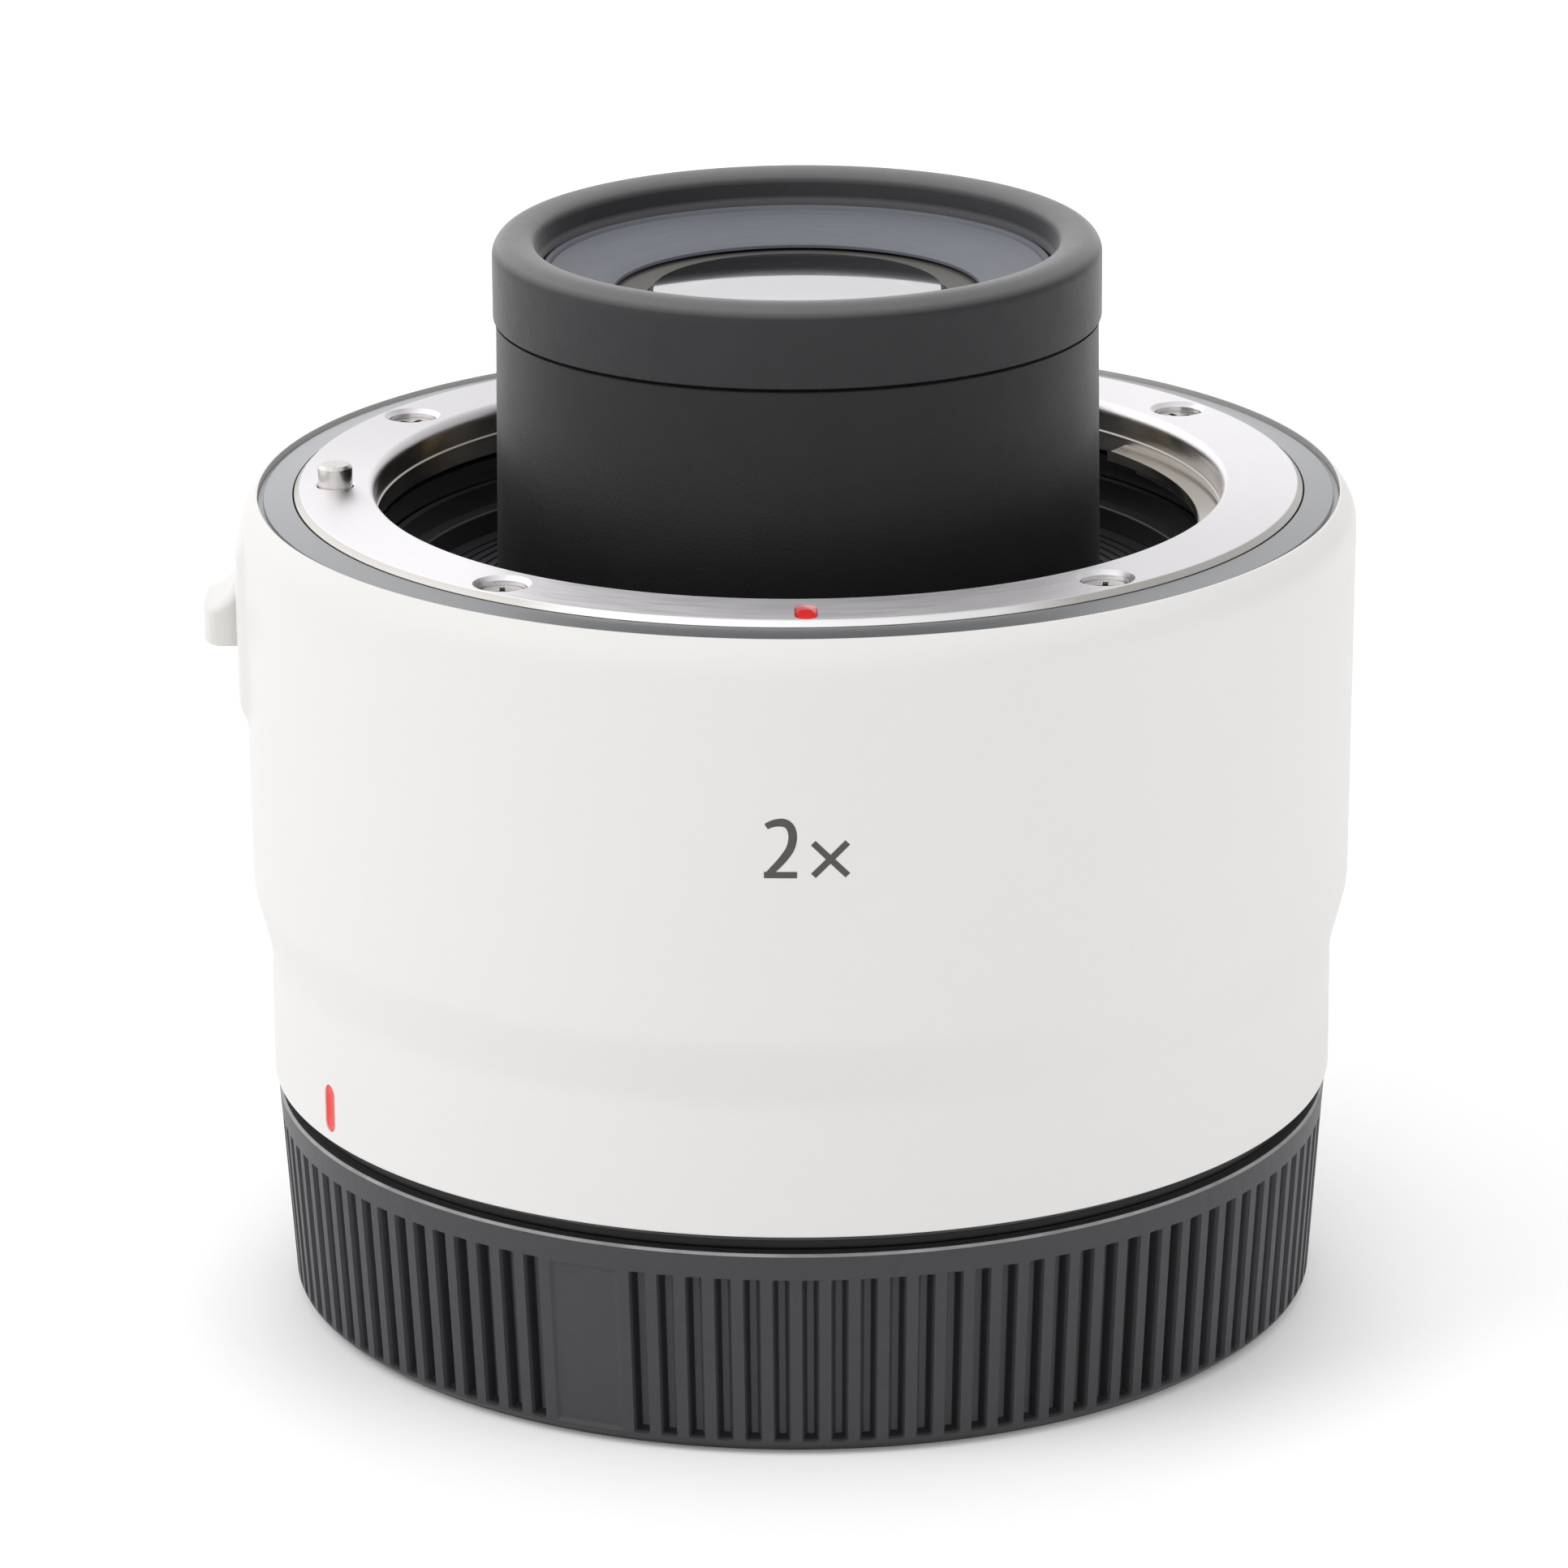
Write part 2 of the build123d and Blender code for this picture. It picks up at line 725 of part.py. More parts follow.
def front_mount_ring():
    chamfer_z = front_face_z - throat_chamfer
    edge_z = front_face_z - mount_edge_chamfer
    outline = [(throat_r, lug_low_z), (throat_r, chamfer_z), (throat_r + throat_chamfer, front_face_z)]
    outline += [(mount_ring_r - mount_edge_chamfer, front_face_z), (mount_ring_r, edge_z)]
    outline += [(mount_ring_r, mount_low_z), (collar_r, mount_low_z), (collar_r, lug_low_z)]
    body = turned(outline)
    for centre, span in female_lugs:
        azimuth = female_azimuth(centre)
        body = body + arc_of(lug_inner_r, throat_r + collar_wall / 2, lug_low_z, lug_top_z, azimuth, span)
    for hole in front_screw_holes():
        body = body - hole
    body = body - lock_pin_hole(mount_low_z - overrun, front_face_z + overrun)
    return body - front_mark_slot(front_face_z - mark_depth, front_face_z + overrun, 0)


def front_index_mark():
    return front_mark_slot(front_face_z - mark_depth, front_face_z - mark_sink, seat_gap / 2)


def front_trim_ring():
    low_z = trim_top_z - trim_thickness
    body = ring(mount_ring_r + seat_gap, trim_r, low_z, trim_top_z)
    rebate_low_z = trim_top_z - trim_rebate_depth
    return body - ring(trim_r - trim_rebate_width, trim_r + overrun, rebate_low_z, trim_top_z + overrun)


def mount_leaf_springs():
    leaves = []
    for centre, span in female_lugs:
        azimuth = female_azimuth(centre)
        low_z = leaf_top_z - leaf_thickness
        inner_r = lug_inner_r + leaf_reach
        leaves.append(arc_of(inner_r, collar_r, low_z, leaf_top_z, azimuth, span * leaf_span_share))
    return grouped(leaves)


def well_wall_ring():
    ledge_z = front_face_z - well_ledge_drop
    outline = [(well_ledge_inner_r, shelf_top_z), (well_wall_r, shelf_top_z), (well_wall_r, head_low_z)]
    outline += [(well_ledge_outer_r, head_low_z), (well_ledge_outer_r, ledge_z)]
    outline += [(well_ledge_inner_r, ledge_z)]
    return turned(outline)


def well_floor_ring():
    inner_r = snout_r + seat_gap
    outer_r = well_ledge_inner_r - seat_gap
    body = ring(inner_r, outer_r, shelf_top_z, well_floor_z)
    count = int((outer_r - inner_r) / floor_groove_pitch)
    for k in range(1, count):
        radius = inner_r + k * floor_groove_pitch
        body = body - ring(radius, radius + floor_groove_width, well_floor_z - floor_groove_depth,
                           well_floor_z + overrun)
    return body - contact_notch()


# Frame

shim_low_z = rear_flange_z + rear_plate
frame_floor_z = shim_low_z + shim_thickness
frame_floor_top_z = frame_floor_z + frame_floor


def small_screws(circle_r, azimuths, top_z):
    tool = screw(small_head_r, small_head_height, small_shank_r, small_length)
    places = [place(circle_r, azimuth) for azimuth in azimuths]
    return [Pos(x, y, top_z) * tool for x, y in places]


def small_screw_holes(circle_r, azimuths, top_z):
    tool = screw_hole(small_head_r, small_head_height, small_shank_r, small_length, 0)
    places = [place(circle_r, azimuth) for azimuth in azimuths]
    return [Pos(x, y, top_z) * tool for x, y in places]


def contact_notch():
    """Room for the contact block's waist through the floor plate, the flange and the shelf."""
    inner_r = front_block_waist_r - seat_gap
    outer_r = front_block_outer_r + seat_gap
    span = contact_span + notch_slack
    return arc_of(inner_r, outer_r, barrel_seat_z, well_floor_z + overrun, contact_azimuth, span)


def ribbon_slot(centre_y, low, high):
    half_x = ribbon_width / 2 + seam_gap
    half_y = ribbon_thickness / 2 + seam_gap
    return block((-half_x, centre_y - half_y, low), (half_x, centre_y + half_y, high))


def main_frame():
    rim_low_z = rear_flange_z + frame_rim_drop
    rim_inner_r = rear_plate_r + seat_gap
    leaf_seat_z = leaf_top_z - leaf_thickness - seat_gap
    head_bore_r = throat_r + pin_gap
    shelf_low_z = barrel_seat_z - shelf_thickness
    outline = [(rim_inner_r, rim_low_z), (frame_rim_r, rim_low_z), (frame_rim_r, frame_floor_top_z)]
    outline += [(frame_tube_r, frame_floor_top_z), (frame_tube_r, head_low_z), (frame_head_r, head_low_z)]
    outline += [(frame_head_r, mount_low_z), (collar_r + seat_gap, mount_low_z)]
    outline += [(collar_r + seat_gap, leaf_seat_z), (head_bore_r, leaf_seat_z), (head_bore_r, head_low_z)]
    outline += [(tube_bore_r, head_low_z), (tube_bore_r, shelf_top_z)]
    outline += [(barrel_flange_r + seat_gap, shelf_top_z), (barrel_flange_r + seat_gap, barrel_seat_z)]
    outline += [(rear_barrel_r + seat_gap, barrel_seat_z), (rear_barrel_r + seat_gap, shelf_low_z)]
    outline += [(tube_bore_r, shelf_low_z), (tube_bore_r, frame_floor_top_z)]
    outline += [(frame_opening_r, frame_floor_top_z), (frame_opening_r, frame_floor_z)]
    outline += [(rim_inner_r, frame_floor_z)]
    body = turned(outline)
    for azimuth in board_post_azimuths:
        x, y = place(board_post_circle_r, azimuth)
        body = body + rod(board_post_r, frame_floor_top_z, board_low_z, x, y)
    cuts = front_screw_holes() + rear_screw_holes()
    cuts += small_screw_holes(board_post_circle_r, board_post_azimuths, board_low_z + board_thickness
                              + small_head_height)
    cuts += small_screw_holes(barrel_screw_circle_r, barrel_screw_azimuths, shelf_top_z)
    cuts.append(lock_pin_hole(head_low_z - overrun, mount_low_z + overrun))
    cuts.append(rod(spring_hole_r, shelf_low_z + spring_floor, shelf_top_z + overrun, *lock_pin_place()))
    cuts.append(arm_slot())
    cuts.append(contact_notch())
    cuts.append(ribbon_slot(front_ribbon_y, shelf_low_z - overrun, barrel_seat_z + overrun))
    for cut in cuts:
        body = body - cut
    return body


# Shell

def shell_outer_r(z):
    """Outside radius of the shell's upper barrel at a height."""
    waist_z = shell_low_z + shell_low_height + shell_taper_height
    top_z = trim_top_z - shoulder_height
    return shell_waist_r + (shell_high_r - shell_waist_r) * (z - waist_z) / (top_z - waist_z)


def body_shell():
    low_top_z = shell_low_z + shell_low_height
    waist_z = low_top_z + shell_taper_height
    shoulder_z = trim_top_z - shoulder_height
    ledge_top_z = trim_top_z - trim_thickness
    ledge_low_z = ledge_top_z - shell_ledge_height
    low_bore_r = frame_rim_r + seat_gap
    bore_r = shell_waist_r - shell_wall
    shoulder = (shell_high_r, shoulder_z + shoulder_height / 2)
    outline = [(low_bore_r, shell_low_z), (shell_low_r, shell_low_z), (shell_low_r, low_top_z)]
    outline += [(shell_waist_r, waist_z), (shell_high_r, shoulder_z), shoulder, (shell_lip_r, trim_top_z)]
    outline += [(trim_r + seat_gap, trim_top_z), (trim_r + seat_gap, ledge_top_z)]
    outline += [(frame_head_r + seat_gap, ledge_top_z), (frame_head_r + seat_gap, ledge_low_z)]
    outline += [(bore_r, ledge_low_z), (bore_r, waist_z), (low_bore_r, low_top_z)]
    rounds = [((shell_low_r, low_top_z), taper_round), ((shell_waist_r, waist_z), taper_round)]
    rounds.append((shoulder, shoulder_round))
    body = turned(outline, rounds) + knob_pad()
    body = body - slot_of_knob()
    return body - rear_mark_slot(shell_low_r - mark_depth, shell_high_r + overrun, 0)


def knob_pad():
    """A low raised pad that blends into the barrel at its lower end."""
    high_z = trim_top_z - shoulder_height
    sunk_r = shell_waist_r - shell_wall / 2
    outline = [(sunk_r, pad_low_z), (shell_outer_r(pad_low_z), pad_low_z), (pad_r, pad_low_z + pad_blend)]
    outline += [(pad_r, high_z - pad_blend / 2), (shell_outer_r(high_z), high_z), (sunk_r, high_z)]
    sector = turned(outline) & wedge(180, pad_span, 2 * pad_r, pad_low_z, high_z)
    outer_sides = sector.edges().filter_by(Axis.Z).sort_by(Axis.X)[:2]
    return chamfer(outer_sides, pad_round)


def slot_of_knob():
    low_z = knob_low_z - release_travel - seam_gap
    high_z = knob_high_z + seam_gap
    half = knob_base_width / 2 + side_gap
    reach = pad_r + overrun
    slot = block((-reach, -half, low_z), (-frame_tube_r, half, high_z))
    return fillet(slot.edges().filter_by(Axis.X), half * slot_round_share)


def rear_mark_slot(inner, outer, trim):
    low_z = shell_low_z + rear_mark_rise + rear_mark_width / 2
    high_z = shell_low_z + rear_mark_rise + rear_mark_length - rear_mark_width / 2
    half = rear_mark_width / 2 - trim
    bar = block((inner, -half, low_z), (outer, half, high_z))
    ends = [Pos(inner, 0, z) * Rot(0, 90, 0) * rod(half, 0, outer - inner) for z in (low_z, high_z)]
    return Rot(0, 0, rear_mark_azimuth) * joined([bar] + ends)


def rear_index_mark():
    inner_r = shell_low_r - mark_depth
    outer_r = shell_low_r - mark_sink
    high_z = shell_low_z + shell_low_height
    slug = rear_mark_slot(inner_r - mark_depth, outer_r + mark_depth, seat_gap / 2)
    return slug & ring(inner_r + seat_gap, outer_r, shell_low_z, high_z)


# Release mechanism

arm_low_z = shelf_top_z + release_travel + seam_gap
arm_high_z = arm_low_z + arm_thickness
leg_inner_x = frame_tube_r + side_gap
leg_outer_x = leg_inner_x + leg_thickness
leg_high_z = head_low_z - side_gap
pad_high_z = leg_high_z - (leg_height - pad_height) / 2
knob_inner_x = knob_base_r - knob_base_thickness


def arm_slot():
    half = arm_width / 2 + side_gap
    reach = frame_tube_r + overrun
    return block((-reach, -half, shelf_top_z), (side_gap - arm_inner_x, half, arm_high_z + side_gap))


def lock_pin():
    x, y = lock_pin_place()
    top_z = front_face_z + lock_pin_stand
    low_z = arm_low_z
    points = [(0, low_z - lock_pin_tail), (lock_pin_tail_r, low_z - lock_pin_tail)]
    points += [(lock_pin_tail_r, low_z), (lock_pin_r, low_z), (lock_pin_r, top_z - lock_pin_chamfer)]
    points += [(lock_pin_r - lock_pin_chamfer, top_z), (0, top_z)]
    return Pos(x, y, 0) * turned(points)


def release_slide():
    arm = block((-leg_outer_x, -arm_width / 2, arm_low_z), (-arm_inner_x, arm_width / 2, arm_high_z))
    leg = block((-leg_outer_x, -leg_width / 2, leg_high_z - leg_height),
                (-leg_inner_x, leg_width / 2, leg_high_z))
    pad = block((-knob_inner_x, -pad_width / 2, pad_high_z - pad_height),
                (-leg_outer_x, pad_width / 2, pad_high_z))
    return joined([arm, leg, pad]) - rod(lock_pin_r, arm_low_z, arm_high_z, *lock_pin_place())


def release_knob():
    """A plate that fills the shell's slot, with a thumb ramp that ends in a flat lower ledge."""
    base = ring(knob_base_r / 2, knob_base_r, knob_low_z, knob_high_z)
    half = knob_base_width / 2
    base = base & block((-knob_r, -half, knob_low_z), (-knob_inner_x, half, knob_high_z))
    root_r = knob_inner_x + knob_base_thickness / 2
    high_z = knob_low_z + knob_height
    hollow_z = knob_low_z + (knob_lip + knob_height) * knob_hollow_share
    lines = [Line((root_r, knob_low_z), (knob_r - knob_round, knob_low_z))]
    corner = (knob_r - knob_round * arc_share, knob_low_z + knob_round * arc_share)
    hollow = ((knob_r + knob_base_r) / 2, hollow_z)
    lines.append(ThreePointArc((knob_r - knob_round, knob_low_z), corner, (knob_r, knob_low_z + knob_round)))
    lines.append(Line((knob_r, knob_low_z + knob_round), (knob_r, knob_low_z + knob_lip)))
    lines.append(ThreePointArc((knob_r, knob_low_z + knob_lip), hollow, (knob_base_r, high_z)))
    lines.append(Line((knob_base_r, high_z), (root_r, high_z)))
    lines.append(Line((root_r, high_z), (root_r, knob_low_z)))
    nub = revolve(Plane.XZ * make_face(Curve() + lines), Axis.Z)
    half = knob_width / 2
    nub = nub & block((-knob_r - overrun, -half, knob_low_z), (-knob_base_r / 2, half, high_z))
    corners = [edge for edge in nub.edges() if edge.center().X < -knob_base_r - knob_round]
    sides = [edge for edge in corners if abs(edge.center().Y) > half - knob_round]
    return base + fillet(sides, knob_round)


def release_spring():
    low_z = barrel_seat_z - shelf_thickness + spring_floor + spring_wire_r + seat_gap
    high_z = arm_low_z - spring_wire_r - seat_gap
    length = high_z - low_z
    path = Helix(pitch=length / spring_turns, height=length, radius=spring_r)
    section = Plane(origin=path @ 0, z_dir=path % 0) * Circle(spring_wire_r)
    x, y = lock_pin_place()
    return Pos(x, y, low_z) * sweep(section, path=path, is_frenet=True)


# Contacts, board and cables

block_top_z = well_floor_z + front_block_height
contact_top_z = block_top_z + contact_stand
contact_low_z = contact_top_z - contact_length
spring_seat_z = barrel_seat_z + front_block_sole


def contact_azimuths():
    first = contact_azimuth - contact_pitch * (contact_count - 1) / 2
    return [first + contact_pitch * k for k in range(contact_count)]


def at_contacts(tool):
    return [Rot(0, 0, azimuth) * Pos(contact_circle_r, 0, 0) * tool for azimuth in contact_azimuths()]


def front_contact_block():
    upper = arc_of(front_block_inner_r, front_block_outer_r, well_floor_z, block_top_z,
                   contact_azimuth, contact_span)
    lower = arc_of(front_block_waist_r, front_block_outer_r, barrel_seat_z, well_floor_z,
                   contact_azimuth, contact_span)
    holes = at_contacts(rod(contact_r + pin_gap, spring_seat_z, block_top_z + overrun))
    return upper + lower - holes


def contact_pins():
    tip_z = contact_top_z - contact_r / 2
    points = [(0, contact_low_z), (contact_r, contact_low_z), (contact_r, tip_z)]
    points += [(contact_r / 2, contact_top_z), (0, contact_top_z)]
    return grouped(at_contacts(turned(points)))


def contact_springs():
    inner_r = contact_r - contact_spring_wall
    return grouped(at_contacts(ring(inner_r, contact_r, spring_seat_z, contact_low_z)))


def circuit_board():
    high_z = board_low_z + board_thickness
    board = ring(board_inner_r, board_outer_r, board_low_z, high_z)
    top_z = high_z + small_head_height
    for hole in small_screw_holes(board_post_circle_r, board_post_azimuths, top_z):
        board = board - hole
    return board


def circuit_chips():
    low_z = board_low_z + board_thickness
    chips = []
    for azimuth, side in zip(chip_azimuths, chip_sides):
        half = side / 2
        chips.append(radial_block(chip_circle_r - half, chip_circle_r + half, 2 * half, low_z,
                                  low_z + chip_height, azimuth))
    return grouped(chips)


def front_ribbon_cable():
    half = ribbon_width / 2
    foot_z = board_low_z + board_thickness
    near = front_ribbon_y - ribbon_thickness / 2
    far = front_ribbon_y + ribbon_thickness / 2
    run = block((-half, near, foot_z), (half, far, barrel_seat_z))
    return run + block((-half, near, foot_z), (half, far + front_ribbon_foot, foot_z + ribbon_thickness))


def rear_ribbon_cable():
    half = ribbon_width / 2
    near = rear_ribbon_y - ribbon_thickness / 2
    return block((-half, near, baffle_low_z), (half, near + ribbon_thickness, board_low_z))


# Rear mount

baffle_low_z = rear_flange_z + rear_plate - baffle_thickness - seat_gap
sleeve_low_z = rear_flange_z - sleeve_depth
male_top_z = rear_flange_z - throat_depth - lug_thickness - bayonet_play
male_low_z = male_top_z - male_lug_thickness


def rear_screws():
    tool = screw(screw_head_r, screw_head_height, screw_shank_r, screw_length)
    places = [place(rear_screw_circle_r, azimuth) for azimuth in rear_screw_azimuths]
    return [Pos(x, y, rear_flange_z + seat_gap) * Rot(180, 0, 0) * tool for x, y in places]


def rear_screw_holes():
    tool = screw_hole(screw_head_r, screw_head_height, screw_shank_r, screw_length, 0)
    places = [place(rear_screw_circle_r, azimuth) for azimuth in rear_screw_azimuths]
    return [Pos(x, y, rear_flange_z + seat_gap) * Rot(180, 0, 0) * tool for x, y in places]


def rear_mount_ring():
    ledge_r = baffle_r + seat_gap
    spigot_z = rear_flange_z - spigot_depth
    outline = [(sleeve_bore_r, sleeve_low_z), (sleeve_r, sleeve_low_z), (sleeve_r, spigot_z)]
    outline += [(male_r, spigot_z), (male_r, rear_flange_z), (rear_plate_r, rear_flange_z)]
    outline += [(rear_plate_r, shim_low_z), (ledge_r, shim_low_z), (ledge_r, baffle_low_z)]
    outline += [(sleeve_bore_r, baffle_low_z)]
    body = turned(outline)
    for azimuth, span in male_lugs():
        body = body + arc_of(sleeve_r - seam_gap, male_r, male_low_z, male_top_z, azimuth, span)
    stop_azimuth = cap_lug_azimuth(2) + cap_lug_span / 2 + stop_gap + stop_span / 2
    body = body + arc_of(sleeve_r - seam_gap, male_r, male_top_z, spigot_z, stop_azimuth, stop_span)
    for hole in rear_screw_holes():
        body = body - hole
    return body


def rear_shim():
    shim = ring(baffle_r + side_gap, rear_plate_r, shim_low_z, frame_floor_z)
    for hole in rear_screw_holes():
        shim = shim - hole
    return shim


def rear_seal():
    low_z = cap_height + seal_play
    return ring(rear_plate_r + seat_gap, frame_rim_r, low_z, rear_flange_z + frame_rim_drop)


def rear_baffle():
    plate = rod(baffle_r, baffle_low_z, baffle_low_z + baffle_thickness)
    half_x = baffle_window_x / 2
    half_y = baffle_window_y / 2
    window = block((-half_x, -half_y, baffle_low_z - overrun), (half_x, half_y, rear_cell_low_z))
    window = fillet(window.edges().filter_by(Axis.Z), baffle_corner)
    plate = plate - window - ribbon_slot(rear_ribbon_y, baffle_low_z, rear_cell_low_z)
    for hole in rear_block_screw_holes():
        plate = plate - hole
    return plate


def rear_block_screw_azimuths():
    reach = contact_span / 2 - rear_block_screw_margin
    return [contact_azimuth - reach, contact_azimuth + reach]


def rear_block_screw_holes():
    top_z = baffle_low_z + baffle_thickness + small_head_height
    return small_screw_holes(rear_block_screw_circle_r, rear_block_screw_azimuths(), top_z)


def rear_contact_block():
    outer_r = sleeve_bore_r - seat_gap
    body = arc_of(rear_block_inner_r, outer_r, sleeve_low_z, baffle_low_z, contact_azimuth, contact_span)
    for hole in rear_block_screw_holes():
        body = body - hole
    return body


def rear_contact_pads():
    low_z = sleeve_low_z - rear_pad_thickness
    pads = []
    for azimuth in contact_azimuths():
        pads.append(arc_of(rear_pad_inner_r, rear_pad_outer_r, low_z, sleeve_low_z, azimuth, rear_pad_span))
    return grouped(pads)


# Rear cap

def cap_lug_azimuth(index):
    return cap_lugs[index] - 360 + rear_mark_azimuth + cap_twist


def cap_skirt_r(z):
    return cap_low_r + (cap_top_r - cap_low_r) * z / cap_height


def rib_outline(radius):
    """The ribbed band's outline at one height: ribs, and between two ribs a groove with a low ridge."""
    pitch = 360 / cap_divisions
    floor_r = radius - cap_groove_depth
    groove_share = 1 - cap_rib_share
    ridge_half = groove_share * cap_ridge_share / 2
    middle = cap_rib_share + groove_share / 2
    steps = [(0, radius), (cap_rib_share, radius), (cap_rib_share, floor_r)]
    steps += [(middle - ridge_half, floor_r), (middle - ridge_half, radius - cap_ridge_sink)]
    steps += [(middle + ridge_half, radius - cap_ridge_sink), (middle + ridge_half, floor_r), (1, floor_r)]
    first_panel = rear_mark_azimuth + cap_twist - pitch * (cap_panel_divisions + cap_rib_share) / 2
    points = []
    for k in range(cap_divisions - cap_panel_divisions):
        start = first_panel + pitch * (k + cap_panel_divisions)
        points += [place(r, start + pitch * share) for share, r in steps]
    panel_r = radius - cap_panel_depth
    panel = [(0, radius), (cap_rib_share, radius), (cap_rib_share, panel_r)]
    panel += [(cap_panel_divisions / 2, panel_r), (cap_panel_divisions, panel_r)]
    points += [place(r, first_panel + pitch * share) for share, r in panel]
    return points


def cap_rib_band():
    sections = []
    for z in (cap_low_band, cap_rib_top_z):
        outline = make_face(Polyline(*rib_outline(cap_skirt_r(z)), close=True))
        sections.append(Pos(0, 0, z) * outline)
    return loft(sections, ruled=True)


def rear_cap():
    inner_r = cap_top_r - cap_skirt_wall
    ring_inner_r = male_r + side_gap
    ring_top_z = rear_flange_z - cap_ring_top_gap
    sole_z = cap_sole_depth
    top = turned([(inner_r, cap_rib_top_z), (cap_skirt_r(cap_rib_top_z), cap_rib_top_z),
                  (cap_skirt_r(cap_height - cap_edge_chamfer), cap_height - cap_edge_chamfer),
                  (cap_top_r - cap_edge_chamfer, cap_height), (inner_r, cap_height)])
    foot = turned([(0, 0), (cap_sole_inner_r, 0), (cap_sole_inner_r, sole_z), (cap_sole_outer_r, sole_z),
                   (cap_sole_outer_r, 0), (cap_foot_r, 0), (cap_foot_r, cap_foot_height),
                   (cap_skirt_r(cap_foot_height), cap_foot_height + cap_edge_chamfer),
                   (cap_skirt_r(cap_low_band), cap_low_band), (0, cap_low_band)])
    band = cap_rib_band() - rod(inner_r, cap_floor, cap_height)
    body = band + top + foot
    body = body + ring(ring_inner_r, ring_inner_r + cap_ring_wall, cap_floor, ring_top_z)
    lug_low_z = male_top_z + seam_gap
    for index in range(len(cap_lugs)):
        body = body + arc_of(sleeve_r + side_gap, ring_inner_r + cap_ring_wall / 2, lug_low_z,
                             lug_low_z + cap_lug_thickness - seam_gap, cap_lug_azimuth(index), cap_lug_span)
    return body


# Every piece, by the name of its node

pieces = {
    "body_shell": body_shell(),
    "rear_index_mark": rear_index_mark(),
    "main_frame": main_frame(),
    "front_trim_ring": front_trim_ring(),
    "front_mount_ring": front_mount_ring(),
    "front_mount_screws": grouped(front_screws()),
    "front_index_mark": front_index_mark(),
    "mount_leaf_springs": mount_leaf_springs(),
    "well_wall_ring": well_wall_ring(),
    "well_floor_ring": well_floor_ring(),
    "inner_barrel": inner_barrel(),
    "barrel_screws": grouped(small_screws(barrel_screw_circle_r, barrel_screw_azimuths, shelf_top_z)),
    "snout_rim_ring": snout_rim_ring(),
    "front_cone_ring": front_cone_ring(),
    "front_lens_retainer": front_lens_retainer(),
    "front_cell": front_cell(),
    "lens_spacer": lens_spacer(),
    "middle_cell": middle_cell(),
    "middle_lens_retainer": middle_lens_retainer(),
    "rear_cell": rear_cell(),
    "rear_group_retainer": rear_group_retainer(),
    "rear_lens_retainer": rear_lens_retainer(),
    "lock_pin": lock_pin(),
    "release_slide": release_slide(),
    "release_knob": release_knob(),
    "release_spring": release_spring(),
    "front_contact_block": front_contact_block(),
    "contact_pins": contact_pins(),
    "contact_springs": contact_springs(),
    "circuit_board": circuit_board(),
    "circuit_chips": circuit_chips(),
    "board_screws": grouped(small_screws(board_post_circle_r, board_post_azimuths,
                                         board_low_z + board_thickness + small_head_height)),
    "front_ribbon_cable": front_ribbon_cable(),
    "rear_ribbon_cable": rear_ribbon_cable(),
    "rear_mount_ring": rear_mount_ring(),
    "rear_mount_screws": grouped(rear_screws()),
    "rear_shim": rear_shim(),
    "rear_seal": rear_seal(),
    "rear_baffle": rear_baffle(),
    "rear_contact_block": rear_contact_block(),
    "rear_contact_pads": rear_contact_pads(),
    "rear_block_screws": grouped(small_screws(rear_block_screw_circle_r, rear_block_screw_azimuths(),
                                              baffle_low_z + baffle_thickness + small_head_height)),
    "rear_cap": rear_cap(),
}
for number, glass in enumerate(glass_elements(), start=1):
    pieces[f"lens_{number}"] = glass

os.makedirs("parts", exist_ok=True)
for name, shape in pieces.items():
    export_step(shape, f"parts/{name}.step")
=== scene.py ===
import json
import math

import bmesh
import bpy
from mathutils import Matrix, Vector


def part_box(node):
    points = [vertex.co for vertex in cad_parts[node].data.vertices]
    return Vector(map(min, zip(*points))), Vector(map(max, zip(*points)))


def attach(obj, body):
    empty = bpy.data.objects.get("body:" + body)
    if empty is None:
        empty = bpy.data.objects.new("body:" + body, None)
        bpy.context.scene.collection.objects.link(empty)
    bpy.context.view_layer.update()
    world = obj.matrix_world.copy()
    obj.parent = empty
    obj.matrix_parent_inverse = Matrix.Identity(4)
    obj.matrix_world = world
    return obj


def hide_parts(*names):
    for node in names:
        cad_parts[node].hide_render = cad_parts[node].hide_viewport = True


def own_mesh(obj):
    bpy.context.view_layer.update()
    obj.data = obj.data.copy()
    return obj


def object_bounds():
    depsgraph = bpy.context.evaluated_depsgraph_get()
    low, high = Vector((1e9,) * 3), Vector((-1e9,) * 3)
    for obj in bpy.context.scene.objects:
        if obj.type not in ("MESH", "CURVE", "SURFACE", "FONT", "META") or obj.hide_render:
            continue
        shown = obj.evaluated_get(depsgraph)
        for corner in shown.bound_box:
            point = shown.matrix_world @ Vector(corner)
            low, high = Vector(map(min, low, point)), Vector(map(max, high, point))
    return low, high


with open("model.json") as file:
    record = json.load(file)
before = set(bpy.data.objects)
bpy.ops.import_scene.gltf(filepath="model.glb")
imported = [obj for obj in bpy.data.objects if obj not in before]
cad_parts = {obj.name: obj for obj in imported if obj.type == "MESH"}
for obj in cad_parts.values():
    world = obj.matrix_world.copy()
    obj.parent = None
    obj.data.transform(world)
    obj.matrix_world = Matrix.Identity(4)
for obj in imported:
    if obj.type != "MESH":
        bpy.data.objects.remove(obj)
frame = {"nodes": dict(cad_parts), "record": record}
cad_low, cad_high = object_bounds()

# A 2x teleconverter that stands on its rear cap. Metres, with +Z up the optical axis.
# The front index and the figure face the camera, on -Y, and the release knob is on -X.

MM = 0.001
TAU = 2 * math.pi
ROUND_STEP = math.radians(12)
SHARP_ANGLE = math.radians(32)
SEGMENTS = 384
FINE_SEGMENTS = 640


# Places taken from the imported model

def low_of(node):
    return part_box(node)[0].z


